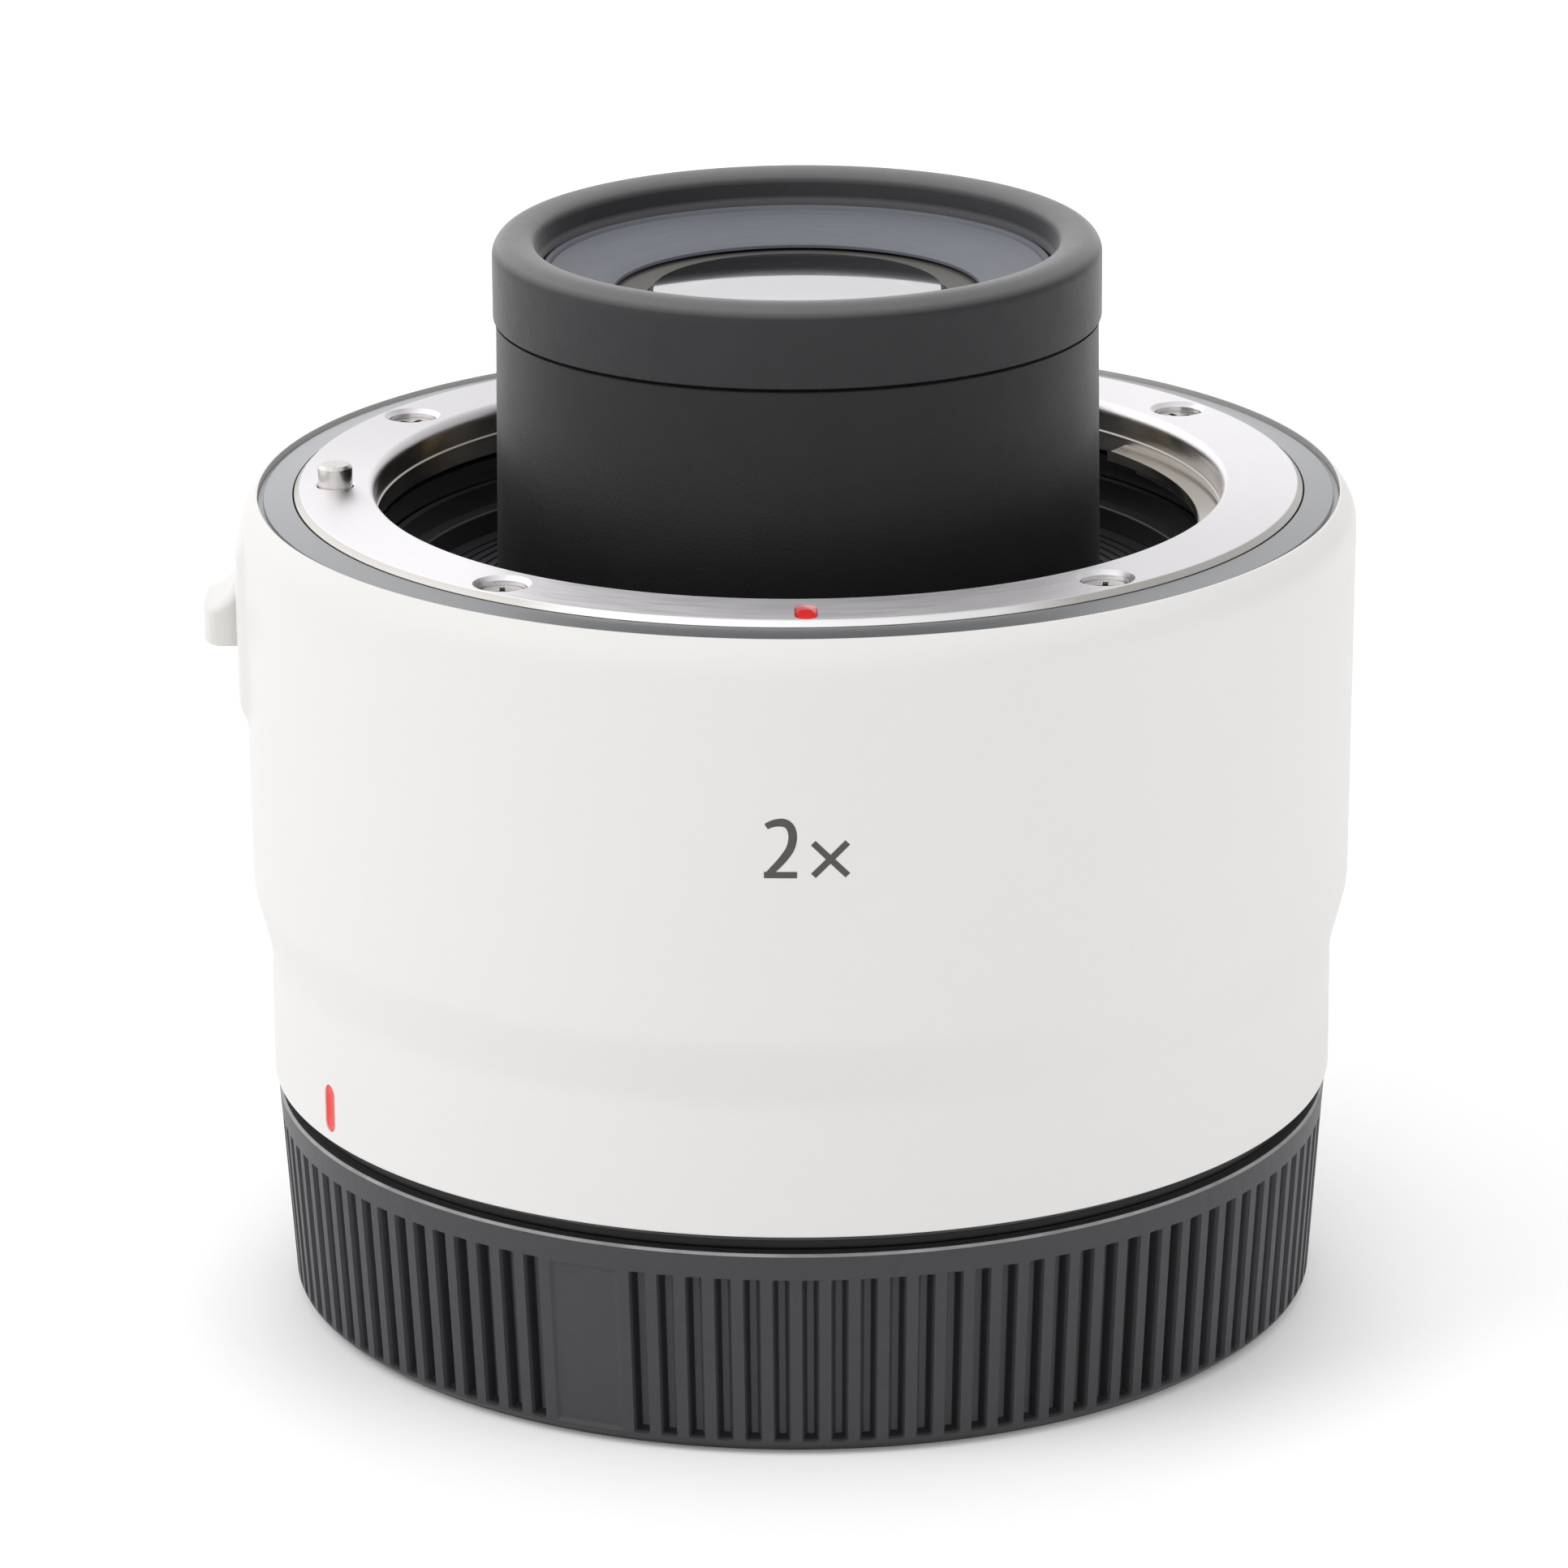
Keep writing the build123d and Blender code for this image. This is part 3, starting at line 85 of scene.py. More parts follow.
def high_of(node):
    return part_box(node)[1].z


def reach_of(node):
    """The largest radius of a round node, read on +Y, where no knob or lug stands out."""
    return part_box(node)[1].y


face_z = high_of("front_mount_ring")
lug_low_z = low_of("front_mount_ring")
trim_top_z = high_of("front_trim_ring")
shell_low_z = low_of("body_shell")
snout_top_z = high_of("snout_rim_ring")
snout_ring_low_z = low_of("snout_rim_ring")
barrel_top_z = high_of("inner_barrel")
barrel_low_z = low_of("inner_barrel")
shelf_top_z = low_of("well_floor_ring")
cap_top_z = low_of("rear_seal") - 0.10 * MM
lens_edge_z = high_of("front_cell")
screw_top_z = high_of("front_mount_screws")

mount_r = reach_of("front_mount_ring")
trim_r = reach_of("front_trim_ring")
shell_r = reach_of("body_shell")
snout_r = reach_of("snout_rim_ring")
flange_r = reach_of("inner_barrel")
cap_r = reach_of("rear_cap")
cap_low_r = cap_r - 0.92 * MM
cap_groove_depth = 0.80 * MM
cap_edge = 0.17 * MM
cone_r = reach_of("front_cone_ring")
mouth_r = cone_r + 0.30 * MM


# Outlines of turned pieces

def rounded(points):
    """A closed (radius, height) outline. A third number in a point rounds its corner."""
    outline = []
    for before, corner, after in zip(points[-1:] + points[:-1], points, points[1:] + points[:1]):
        here = Vector(corner[:2])
        if len(corner) < 3:
            outline.append(here)
            continue
        back = (Vector(before[:2]) - here).normalized()
        ahead = (Vector(after[:2]) - here).normalized()
        half = back.angle(ahead) / 2
        centre = here + (back + ahead).normalized() * corner[2] / math.sin(half)
        start = here + back * corner[2] / math.tan(half) - centre
        turn = math.pi - 2 * half
        if start.x * ahead.y - start.y * ahead.x < 0:
            turn = -turn
        steps = max(2, math.ceil(abs(turn) / ROUND_STEP))
        for k in range(steps + 1):
            angle = turn * k / steps
            spin = Vector((start.x * math.cos(angle) - start.y * math.sin(angle),
                           start.x * math.sin(angle) + start.y * math.cos(angle)))
            outline.append(centre + spin)
    return outline


def run_between(start, end, heights):
    """Points of a straight flank at these heights, so that relief can bend it."""
    share = [(z - start[1]) / (end[1] - start[1]) for z in heights]
    return [(start[0] + (end[0] - start[0]) * s, z) for s, z in zip(share, heights)]


def even(low, high, count):
    return [low + (high - low) * k / count for k in range(count + 1)]


# Meshes

def piece_from(name, mesh):
    bm = bmesh.new()
    bm.from_mesh(mesh)
    bmesh.ops.remove_doubles(bm, verts=bm.verts, dist=1e-8)
    bmesh.ops.recalc_face_normals(bm, faces=bm.faces)
    bm.to_mesh(mesh)
    bm.free()
    mesh.shade_smooth()
    mesh.set_sharp_from_angle(angle=SHARP_ANGLE)
    piece = bpy.data.objects.new(name, mesh)
    bpy.context.scene.collection.objects.link(piece)
    return piece


def lathe(name, points, turns=None, relief=None, segments=SEGMENTS):
    """A turned solid. turns gives a part of the circle, and relief moves (radius, height, turn)."""
    outline = rounded(points)
    whole = turns is None or turns[-1] - turns[0] > TAU * 0.99
    if turns is None:
        turns = [TAU * k / segments for k in range(segments)]
    verts = []
    for turn in turns:
        cosine, sine = math.cos(turn), math.sin(turn)
        for r, z in outline:
            if relief:
                r, z = relief(r, z, turn)
            verts.append((r * cosine, r * sine, z))
    count = len(outline)
    faces = []
    for i in range(len(turns) if whole else len(turns) - 1):
        here, there = i * count, (i + 1) % len(turns) * count
        for a in range(count):
            b = (a + 1) % count
            if outline[a][0] > 0 or outline[b][0] > 0:
                faces.append((here + a, here + b, there + b, there + a))
    if not whole:
        faces.append(tuple(range(count)))
        faces.append(tuple(range(len(verts) - count, len(verts))))
    mesh = bpy.data.meshes.new(name)
    mesh.from_pydata(verts, [], faces)
    return piece_from(name, mesh)


def sector(centre, span, steps):
    """Turns of an arc, in degrees, as a list in radians."""
    return [math.radians(centre + span * (k / steps - 0.5)) for k in range(steps + 1)]


def place(radius, azimuth):
    turn = math.radians(azimuth)
    return radius * math.cos(turn), radius * math.sin(turn)


def moved(piece, x=0, y=0, z=0, turn=0):
    """Puts a piece in place and writes the place into its mesh."""
    piece.data.transform(Matrix.Translation((x, y, z)) @ Matrix.Rotation(turn, 4, "Z"))
    return piece


def settle(piece):
    """Replaces a piece's modifiers by their result."""
    graph = bpy.context.evaluated_depsgraph_get()
    mesh = bpy.data.meshes.new_from_object(piece.evaluated_get(graph))
    piece.modifiers.clear()
    piece.data = mesh
    return piece


def combine(piece, tools, operation):
    for tool in tools:
        change = piece.modifiers.new(operation, "BOOLEAN")
        change.operation = operation
        change.solver = "EXACT"
        change.object = tool
        settle(piece)
        bpy.data.objects.remove(tool)
    mesh = piece.data
    mesh.shade_smooth()
    mesh.set_sharp_from_angle(angle=SHARP_ANGLE)
    return piece


def soften(piece, width, steps=3):
    """Rounds a piece's sharp edges."""
    bevel = piece.modifiers.new("bevel", "BEVEL")
    bevel.width = width
    bevel.segments = steps
    bevel.limit_method = "ANGLE"
    bevel.angle_limit = SHARP_ANGLE
    settle(piece)
    piece.data.shade_smooth()
    piece.data.set_sharp_from_angle(angle=SHARP_ANGLE)
    return piece


def bar(name, outline, depth):
    """A solid from a closed outline of (x, y) points, extruded up from zero."""
    count = len(outline)
    verts = [(x, y, 0) for x, y in outline] + [(x, y, depth) for x, y in outline]
    faces = [tuple(range(count)), tuple(range(count, 2 * count))]
    faces += [(k, (k + 1) % count, (k + 1) % count + count, k + count) for k in range(count)]
    mesh = bpy.data.meshes.new(name)
    mesh.from_pydata(verts, [], faces)
    return piece_from(name, mesh)


def rectangle(half_x, half_y):
    return [(-half_x, -half_y), (half_x, -half_y), (half_x, half_y), (-half_x, half_y)]


def slot_outline(low, high, half, steps=12):
    """An outline with round ends, along +X from low to high."""
    outline = []
    for centre, start in ((high - half, -90), (low + half, 90)):
        for k in range(steps + 1):
            turn = math.radians(start + 180 * k / steps)
            outline.append((centre + half * math.cos(turn), half * math.sin(turn)))
    return outline


def smooth_share(value):
    value = min(1, max(0, value))
    return value * value * (3 - 2 * value)


# Materials: each is made of nodes that read the object's own coordinates

class Nodes:
    """Makes and joins the nodes of one tree."""

    def __init__(self, tree):
        self.tree = tree

    def add(self, kind, **settings):
        made = self.tree.nodes.new(kind)
        for key, value in settings.items():
            setattr(made, key, value)
        return made

    def link(self, source, target):
        """Joins an output to an input, or writes a value there."""
        if isinstance(source, (int, float, tuple)):
            target.default_value = source
        else:
            self.tree.links.new(source, target)

    def ramp(self, source, low, high, start=0.0, end=1.0):
        """Maps a value between start and end onto a range."""
        made = self.add("ShaderNodeMapRange")
        for socket, value in zip(("From Min", "From Max", "To Min", "To Max"), (start, end, low, high)):
            self.link(value, made.inputs[socket])
        self.link(source, made.inputs["Value"])
        return made.outputs["Result"]


class Finish(Nodes):
    """One procedural material on a Principled surface."""

    def __init__(self, name, **settings):
        self.material = bpy.data.materials.new(name)
        self.material.use_nodes = True
        super().__init__(self.material.node_tree)
        self.surface = self.tree.nodes["Principled BSDF"]
        for key, value in settings.items():
            self.surface.inputs[key.replace("_", " ")].default_value = value
        self.coordinates = self.add("ShaderNodeTexCoord").outputs["Object"]

    def math(self, operation, first, second=0.0):
        made = self.add("ShaderNodeMath", operation=operation)
        self.link(first, made.inputs[0])
        self.link(second, made.inputs[1])
        return made.outputs[0]

    def noise(self, scale, detail=2.0, at=None):
        made = self.add("ShaderNodeTexNoise")
        self.link(scale, made.inputs["Scale"])
        self.link(detail, made.inputs["Detail"])
        self.link(at or self.coordinates, made.inputs["Vector"])
        return made.outputs["Fac"]

    def vector(self, operation, first, second=None):
        made = self.add("ShaderNodeVectorMath", operation=operation)
        self.link(first, made.inputs[0])
        if second:
            self.link(second, made.inputs[1])
        return made

    def along(self, axis):
        split = self.add("ShaderNodeSeparateXYZ")
        self.link(self.coordinates, split.inputs[0])
        return split.outputs[axis]

    def height(self):
        return self.along("Z")

    def radius(self):
        flat = self.vector("MULTIPLY", self.coordinates, (1, 1, 0)).outputs[0]
        return self.vector("LENGTH", flat).outputs["Value"]

    def strokes(self, length, width, detail=2.0):
        """Noise drawn out round the axis: strokes of this length at the rim, and this width."""
        flat = self.vector("MULTIPLY", self.coordinates, (1, 1, 0)).outputs[0]
        across = self.math("DIVIDE", self.math("ADD", self.radius(), self.height()), width)
        share = mount_r / length
        around = self.vector("MULTIPLY", self.vector("NORMALIZE", flat).outputs[0], (share, share, 0))
        joined = self.add("ShaderNodeCombineXYZ")
        self.link(across, joined.inputs["Z"])
        place = self.vector("ADD", around.outputs[0], joined.outputs[0]).outputs[0]
        return self.noise(1.0, detail, place)

    def mirrored(self, colour, roughness, facing, share):
        """Lays a mirror over the surface whose share grows between two grazing views."""
        mirror = self.add("ShaderNodeBsdfGlossy")
        self.link((*colour, 1), mirror.inputs["Color"])
        self.link(roughness, mirror.inputs["Roughness"])
        slant = self.add("ShaderNodeLayerWeight").outputs["Facing"]
        mixed = self.add("ShaderNodeMixShader")
        self.link(self.ramp(slant, *share, *facing), mixed.inputs["Fac"])
        self.link(self.surface.outputs[0], mixed.inputs[1])
        self.link(mirror.outputs[0], mixed.inputs[2])
        self.link(mixed.outputs[0], self.tree.nodes["Material Output"].inputs["Surface"])
        return self

    def mix(self, share, first, second):
        made = self.add("ShaderNodeMix", data_type="RGBA")
        self.link(first, made.inputs["A"])
        self.link(second, made.inputs["B"])
        self.link(share, made.inputs["Factor"])
        self.link(made.outputs["Result"], self.surface.inputs["Base Color"])
        return self

    def tint(self, share, dark, light):
        """A base colour between two tones."""
        return self.mix(share, (*dark, 1), (*light, 1))

    def retint(self, share, colour):
        """Turns the base colour towards another where the share is high."""
        before = self.surface.inputs["Base Color"].links[0].from_socket
        return self.mix(share, before, (*colour, 1))

    def rough(self, source, low, high):
        self.link(self.ramp(source, low, high), self.surface.inputs["Roughness"])
        return self

    def bumps(self, source, distance, strength=1.0):
        made = self.add("ShaderNodeBump")
        self.link(distance, made.inputs["Distance"])
        self.link(strength, made.inputs["Strength"])
        self.link(source, made.inputs["Height"])
        before = self.surface.inputs["Normal"]
        if before.is_linked:
            self.link(before.links[0].from_socket, made.inputs["Normal"])
        self.link(made.outputs["Normal"], before)
        return self

    def brushed_round(self):
        """Lets highlights spread across rings about the axis."""
        tangent = self.add("ShaderNodeTangent", direction_type="RADIAL", axis="Z")
        self.link(tangent.outputs["Tangent"], self.surface.inputs["Tangent"])
        return self


def scaled(colour, share):
    return tuple(part * share for part in colour)


def make_white_paint():
    paint = Finish("white_paint", Roughness=0.42, Specular_IOR_Level=0.5)
    paint.tint(paint.noise(90, 3), (0.722, 0.705, 0.688), (0.736, 0.720, 0.704))
    paint.rough(paint.noise(700, 2), 0.36, 0.46)
    return paint.bumps(paint.noise(3200, 3), 0.012 * MM, 0.6)


def make_red_paint():
    paint = Finish("red_paint", Roughness=0.22, Specular_IOR_Level=0.6)
    paint.tint(paint.noise(900, 2), (0.72, 0.020, 0.018), (0.88, 0.040, 0.030))
    return paint.bumps(paint.noise(1800, 2), 0.02 * MM, 0.7)


def make_barrel_black():
    black = Finish("barrel_black", Specular_IOR_Level=0.31, Sheen_Weight=0.05, Sheen_Roughness=0.35)
    black.tint(black.noise(500, 4), (0.0095, 0.0098, 0.0108), (0.0140, 0.0143, 0.0156))
    black.rough(black.noise(260, 3), 0.38, 0.48)
    return black.bumps(black.noise(6500, 2), 0.015 * MM, 0.8)


def make_rim_rubber():
    """Dark rubber with painted light over its crest and a painted highlight low on the inner wall of its
    mouth.
    """
    rubber = Finish("rim_rubber", Specular_IOR_Level=0.42, Sheen_Weight=0.45, Sheen_Roughness=0.30)
    rubber.tint(rubber.noise(300, 4), (0.012, 0.0123, 0.0140), (0.018, 0.0184, 0.0205))
    # Painted light: the crest is paler, as if lit from above and at a slant.
    crest = rubber.ramp(rubber.height(), 0.0, 1.0, snout_top_z - 0.85 * MM, snout_top_z - 0.40 * MM)
    rubber.retint(crest, (0.120, 0.118, 0.121))
    # Painted highlight: a pale ring low on the inner wall of the mouth.
    mouth = rubber.ramp(rubber.height(), 1.0, 0.0, snout_top_z - 1.95 * MM, snout_top_z - 1.60 * MM)
    within = rubber.ramp(rubber.radius(), 1.0, 0.0, mouth_r + 0.10 * MM, mouth_r + 0.30 * MM)
    rubber.retint(rubber.math("MULTIPLY", mouth, within), (0.11, 0.11, 0.115))
    rubber.rough(rubber.noise(900, 3), 0.46, 0.58)
    return rubber.bumps(rubber.noise(5200, 3), 0.020 * MM, 0.8)


def make_turned_black(name, dark, light, low, high):
    """Anodised metal with the fine rings of a lathe."""
    black = Finish(name, Specular_IOR_Level=0.5)
    rings = black.strokes(14 * MM, 0.22 * MM, 3)
    black.tint(rings, dark, light)
    black.rough(rings, low, high)
    return black.bumps(rings, 0.012 * MM, 0.6).brushed_round()


def make_trim_black():
    trim = Finish("trim_black", Specular_IOR_Level=0.2)
    trim.tint(trim.noise(1400, 3), (0.016, 0.0165, 0.018), (0.024, 0.0245, 0.027))
    trim.rough(trim.noise(2600, 3), 0.30, 0.40)
    trim.bumps(trim.noise(6000, 2), 0.012 * MM, 0.7)
    return trim.mirrored((0.92, 0.93, 0.96), 0.45, (0.60, 0.80), (0.28, 0.52))


def make_mount_steel():
    """Steel with a brushed face, a darker outer chamfer with a painted highlight on its front stretch,
    and darker, smoother walls below.
    """
    steel = Finish("mount_steel", Metallic=1.0, Anisotropic=0.80, Anisotropic_Rotation=0.25)
    streaks = steel.strokes(5 * MM, 0.22 * MM, 4)
    steel.tint(streaks, (0.86, 0.84, 0.87), (0.95, 0.92, 0.95))
    below = steel.ramp(steel.height(), 1.0, 0.0, face_z - 0.85 * MM, face_z - 0.45 * MM)
    steel.retint(below, (0.48, 0.455, 0.425))
    edge = steel.ramp(steel.radius(), 0.0, 1.0, mount_r - 0.36 * MM, mount_r - 0.30 * MM)
    steel.retint(edge, (0.62, 0.60, 0.57))
    # Painted highlight: the chamfer's stretch on the front, on -Y, is painted white; elsewhere the
    # chamfer stays darker.
    middle = steel.ramp(steel.math("ABSOLUTE", steel.along("X")), 1.0, 0.0, 12 * MM, 17 * MM)
    front = steel.math("MULTIPLY", middle, steel.math("LESS_THAN", steel.along("Y"), 0.0))
    steel.retint(steel.math("MULTIPLY", edge, front), (1.0, 1.0, 1.0))
    lower = steel.ramp(steel.height(), 1.0, 0.0, face_z - 0.60 * MM, face_z - 0.02 * MM)
    smooth = steel.math("MULTIPLY", lower, 0.22)
    face = steel.ramp(streaks, 0.34, 0.50)
    steel.link(steel.math("SUBTRACT", face, smooth), steel.surface.inputs["Roughness"])
    return steel.bumps(streaks, 0.006 * MM, 0.6).brushed_round()


def make_screw_steel():
    steel = Finish("screw_steel", Metallic=1.0)
    steel.tint(steel.noise(1800, 3), (0.58, 0.56, 0.53), (0.72, 0.70, 0.67))
    # Painted shade: the cross recess and everything below the head's top are darker.
    sunk = steel.ramp(steel.height(), 1.0, 0.0, screw_top_z - 0.16 * MM, screw_top_z - 0.10 * MM)
    steel.retint(sunk, (0.14, 0.135, 0.13))
    steel.rough(steel.noise(1200, 2), 0.30, 0.42)
    return steel.bumps(steel.noise(4000, 2), 0.003 * MM, 0.5)


def make_pin_steel():
    """Ground steel with fine upright lines."""
    steel = Finish("pin_steel", Metallic=1.0)
    lines = steel.noise(1.0, 2, steel.vector("MULTIPLY", steel.coordinates, (4200, 4200, 300)).outputs[0])
    steel.tint(lines, (0.55, 0.53, 0.50), (0.85, 0.83, 0.80))
    steel.rough(lines, 0.20, 0.32)
    return steel.bumps(lines, 0.004 * MM, 0.6)


def make_plain(name, colour, low, high, **settings):
    """A plain moulded or plated finish with a fine mottle."""
    plain = Finish(name, **settings)
    plain.tint(plain.noise(1500, 3), scaled(colour, 0.88), scaled(colour, 1.12))
    plain.rough(plain.noise(900, 2), low, high)
    return plain.bumps(plain.noise(5000, 2), 0.012 * MM, 0.7)


def make_cap_plastic():
    """Fine-grained plastic with painted shade on its groove walls, painted light on the groove floors,
    painted shade deeper in and along its lower hem, and a patchy painted highlight round its upper edge.
    """
    plastic = Finish("cap_plastic", Specular_IOR_Level=0.50, Sheen_Weight=0.12, Sheen_Roughness=0.35)
    plastic.tint(plastic.noise(1200, 4), (0.029, 0.0297, 0.0338), (0.040, 0.0407, 0.0460))
    slope = (cap_r - cap_low_r) / cap_top_z
    skirt = plastic.math("ADD", plastic.math("MULTIPLY", plastic.height(), slope), cap_low_r)
    depth = plastic.math("SUBTRACT", skirt, plastic.radius())
    # Painted shade on the groove walls and painted light on the groove floors.
    painted_wall_shade = plastic.ramp(depth, 0.0, 1.0, 0.20 * MM, 0.28 * MM)
    plastic.retint(painted_wall_shade, (0.011, 0.0112, 0.0128))
    painted_floor_light = plastic.ramp(depth, 0.0, 1.0, cap_groove_depth - 0.10 * MM, cap_groove_depth - 0.03 * MM)
    plastic.retint(painted_floor_light, (0.052, 0.053, 0.060))
    # Painted shade deeper in than the groove floors, such as the top land under the seal and the foot's
    # undercut.
    painted_inner_shade = plastic.ramp(depth, 0.0, 1.0, cap_groove_depth + 0.04 * MM, cap_groove_depth + 0.10 * MM)
    plastic.retint(painted_inner_shade, (0.020, 0.0204, 0.0225))
    # Patchy painted highlight round the cap's upper edge.
    edge_z = cap_top_z - cap_edge
    high = plastic.ramp(plastic.height(), 0.0, 1.0, edge_z, edge_z + 0.03 * MM)
    outer = plastic.ramp(plastic.radius(), 0.0, 1.0, cap_r - cap_edge - 0.02 * MM, cap_r - cap_edge)
    painted_edge_highlight = plastic.math("MULTIPLY", high, outer)
    patchy = plastic.math("MULTIPLY", painted_edge_highlight, plastic.ramp(plastic.noise(420, 3), 0.6, 1.0, 0.3, 0.6))
    plastic.retint(patchy, (0.32, 0.32, 0.32))
    # Painted shade along the skirt's lower hem, near the floor.
    painted_hem_shade = plastic.ramp(plastic.height(), 1.0, 0.0, 0.70 * MM, 0.95 * MM)
    plastic.retint(painted_hem_shade, (0.014, 0.0143, 0.016))
    plastic.rough(plastic.noise(1500, 3), 0.46, 0.58)
    return plastic.bumps(plastic.noise(4600, 3), 0.022 * MM, 0.9)


def make_coated_glass():
    """Coated glass, which shows the sky at a slant and the dark inside from above."""
    glass = Finish("coated_glass", Roughness=0.02, IOR=1.6, Transmission_Weight=1.0)
    glass.tint(glass.noise(40, 1), (0.86, 0.90, 0.93), (0.90, 0.93, 0.95))
    return glass.mirrored((0.77, 0.77, 0.79), 0.03, (0.25, 0.58), (0.05, 0.86))


finishes = {
    "white_paint": make_white_paint(),
    "red_paint": make_red_paint(),
    "black_anodised": make_turned_black(
        "black_anodised", (0.022, 0.023, 0.026), (0.034, 0.036, 0.040), 0.34, 0.46),
    # Painted light: a paler copy of the black anodised finish, for the front cone.
    "cone_black_painted_light": make_turned_black(
        "cone_black_painted_light", (0.098, 0.104, 0.124), (0.150, 0.158, 0.186), 0.38, 0.52),
    # Painted light: a paler, brownish copy of the black anodised finish, for the lens retainer.
    "retainer_black_painted_light": make_turned_black(
        "retainer_black_painted_light", (0.070, 0.066, 0.060), (0.110, 0.104, 0.096), 0.36, 0.48),
    "barrel_black": make_barrel_black(),
    "rim_rubber": make_rim_rubber(),
    "seal_rubber": make_plain("seal_rubber", (0.006, 0.006, 0.006), 0.30, 0.42, Specular_IOR_Level=0.25),
    "trim_black": make_trim_black(),
    "mount_steel": make_mount_steel(),
    "screw_steel": make_screw_steel(),
    "pin_steel": make_pin_steel(),
    "spring_steel": make_plain("spring_steel", (0.50, 0.49, 0.47), 0.25, 0.38, Metallic=1.0),
    "contact_plastic": make_plain("contact_plastic", (0.016, 0.016, 0.017), 0.35, 0.48),
    "contact_gold": make_plain("contact_gold", (0.83, 0.60, 0.26), 0.18, 0.30, Metallic=1.0),
    "board_green": make_plain("board_green", (0.02, 0.16, 0.07), 0.30, 0.42),
    "chip_black": make_plain("chip_black", (0.02, 0.02, 0.022), 0.45, 0.60),
    "ribbon_amber": make_plain("ribbon_amber", (0.55, 0.26, 0.05), 0.25, 0.36),
    "cap_plastic": make_cap_plastic(),
    "coated_glass": make_coated_glass(),
    "figure_ink": make_plain("figure_ink", (0.062, 0.060, 0.058), 0.45, 0.55),
}


def dress(piece, slot):
    piece.data.materials.clear()
    piece.data.materials.append(finishes[slot].material)
    return piece


def fit(piece, body, slot, *nodes, look=None):
    """Finishes a new piece: its look, its body and the nodes that it stands for."""
    dress(piece, look or slot)
    weighted = piece.modifiers.new("normals", "WEIGHTED_NORMAL")
    weighted.keep_sharp = True
    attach(piece, body)
    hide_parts(*nodes)
    return piece


# Outer shell with its knob pad

shell_low_r = shell_r - 1.25 * MM
shell_waist_r = shell_r - 0.20 * MM
shell_lip_r = trim_r + 0.17 * MM
shell_wall = 1.30 * MM
taper_low_z = shell_low_z + 8.65 * MM
waist_z = taper_low_z + 4.10 * MM
shoulder_z = trim_top_z - 2.40 * MM
ledge_top_z = low_of("front_trim_ring")
ledge_low_z = ledge_top_z - 1.90 * MM
shell_bore_r = reach_of("main_frame") + 0.05 * MM
knob_low, knob_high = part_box("release_knob")
pad_r = shell_r + 0.45 * MM
pad_half_turn = math.radians(10.5)
pad_edge_turn = math.radians(1.4)
pad_low_z = knob_low.z - 4.85 * MM
pad_low_blend = 1.80 * MM
pad_high_blend = 0.90 * MM
knob_travel = 1.50 * MM
knob_gap = 0.20 * MM
knob_half = (knob_high.y - knob_low.y) / 2


def pad_relief(r, z, turn):
    """Lifts the flank to the pad's radius round the knob's slot, with blended borders."""
    off_centre = abs((turn % TAU) - math.pi)
    if r < shell_waist_r - 0.3 * MM or z < pad_low_z or off_centre > pad_half_turn:
        return r, z
    side = smooth_share((pad_half_turn - off_centre) / pad_edge_turn)
    low = smooth_share((z - pad_low_z) / pad_low_blend)
    high = smooth_share((shoulder_z + pad_high_blend - z) / (2 * pad_high_blend))
    return r + (pad_r - r) * side * low * high, z


def pad_turns():
    """Turns of the whole circle, closer together at the pad's borders."""
    turns = [TAU * k / FINE_SEGMENTS for k in range(FINE_SEGMENTS)]
    steps = 12
    for side in (-1, 1):
        border = math.pi + side * pad_half_turn
        turns += [border - side * pad_edge_turn * k / steps for k in range(1, steps + 1)]
    return sorted(turns)


def slot_cutter():
    half = knob_half + 0.30 * MM
    low = knob_low.z - knob_travel - knob_gap
    high = knob_high.z + knob_gap
    corner = 0.95 * MM
    outline = [(low, -half, corner), (high, -half, corner), (high, half, corner), (low, half, corner)]
    outline = [tuple(point) for point in rounded(outline)]
    floor_r, depth = 32.6 * MM, 6 * MM
    cutter = bar("slot", outline, depth)
    cutter.data.transform(Matrix.Rotation(-math.pi / 2, 4, "Y"))
    cutter.data.transform(Matrix.Translation((-floor_r, 0, 0)))
    return cutter


def mark_cutter(inner, outer, low, high, half, azimuth):
    """An upright slot with round ends in the shell's flank."""
    cutter = bar("mark", slot_outline(low, high, half), outer - inner)
    cutter.data.transform(Matrix.Rotation(-math.pi / 2, 4, "Y"))
    cutter.data.transform(Matrix.Translation((-inner, 0, 0)))
    return moved(cutter, turn=math.radians(azimuth - 180))


rear_mark_azimuth = -150.2
rear_mark_half = 0.65 * MM
rear_mark_low_z, rear_mark_high_z = low_of("rear_index_mark"), high_of("rear_index_mark")
mark_depth = 0.35 * MM


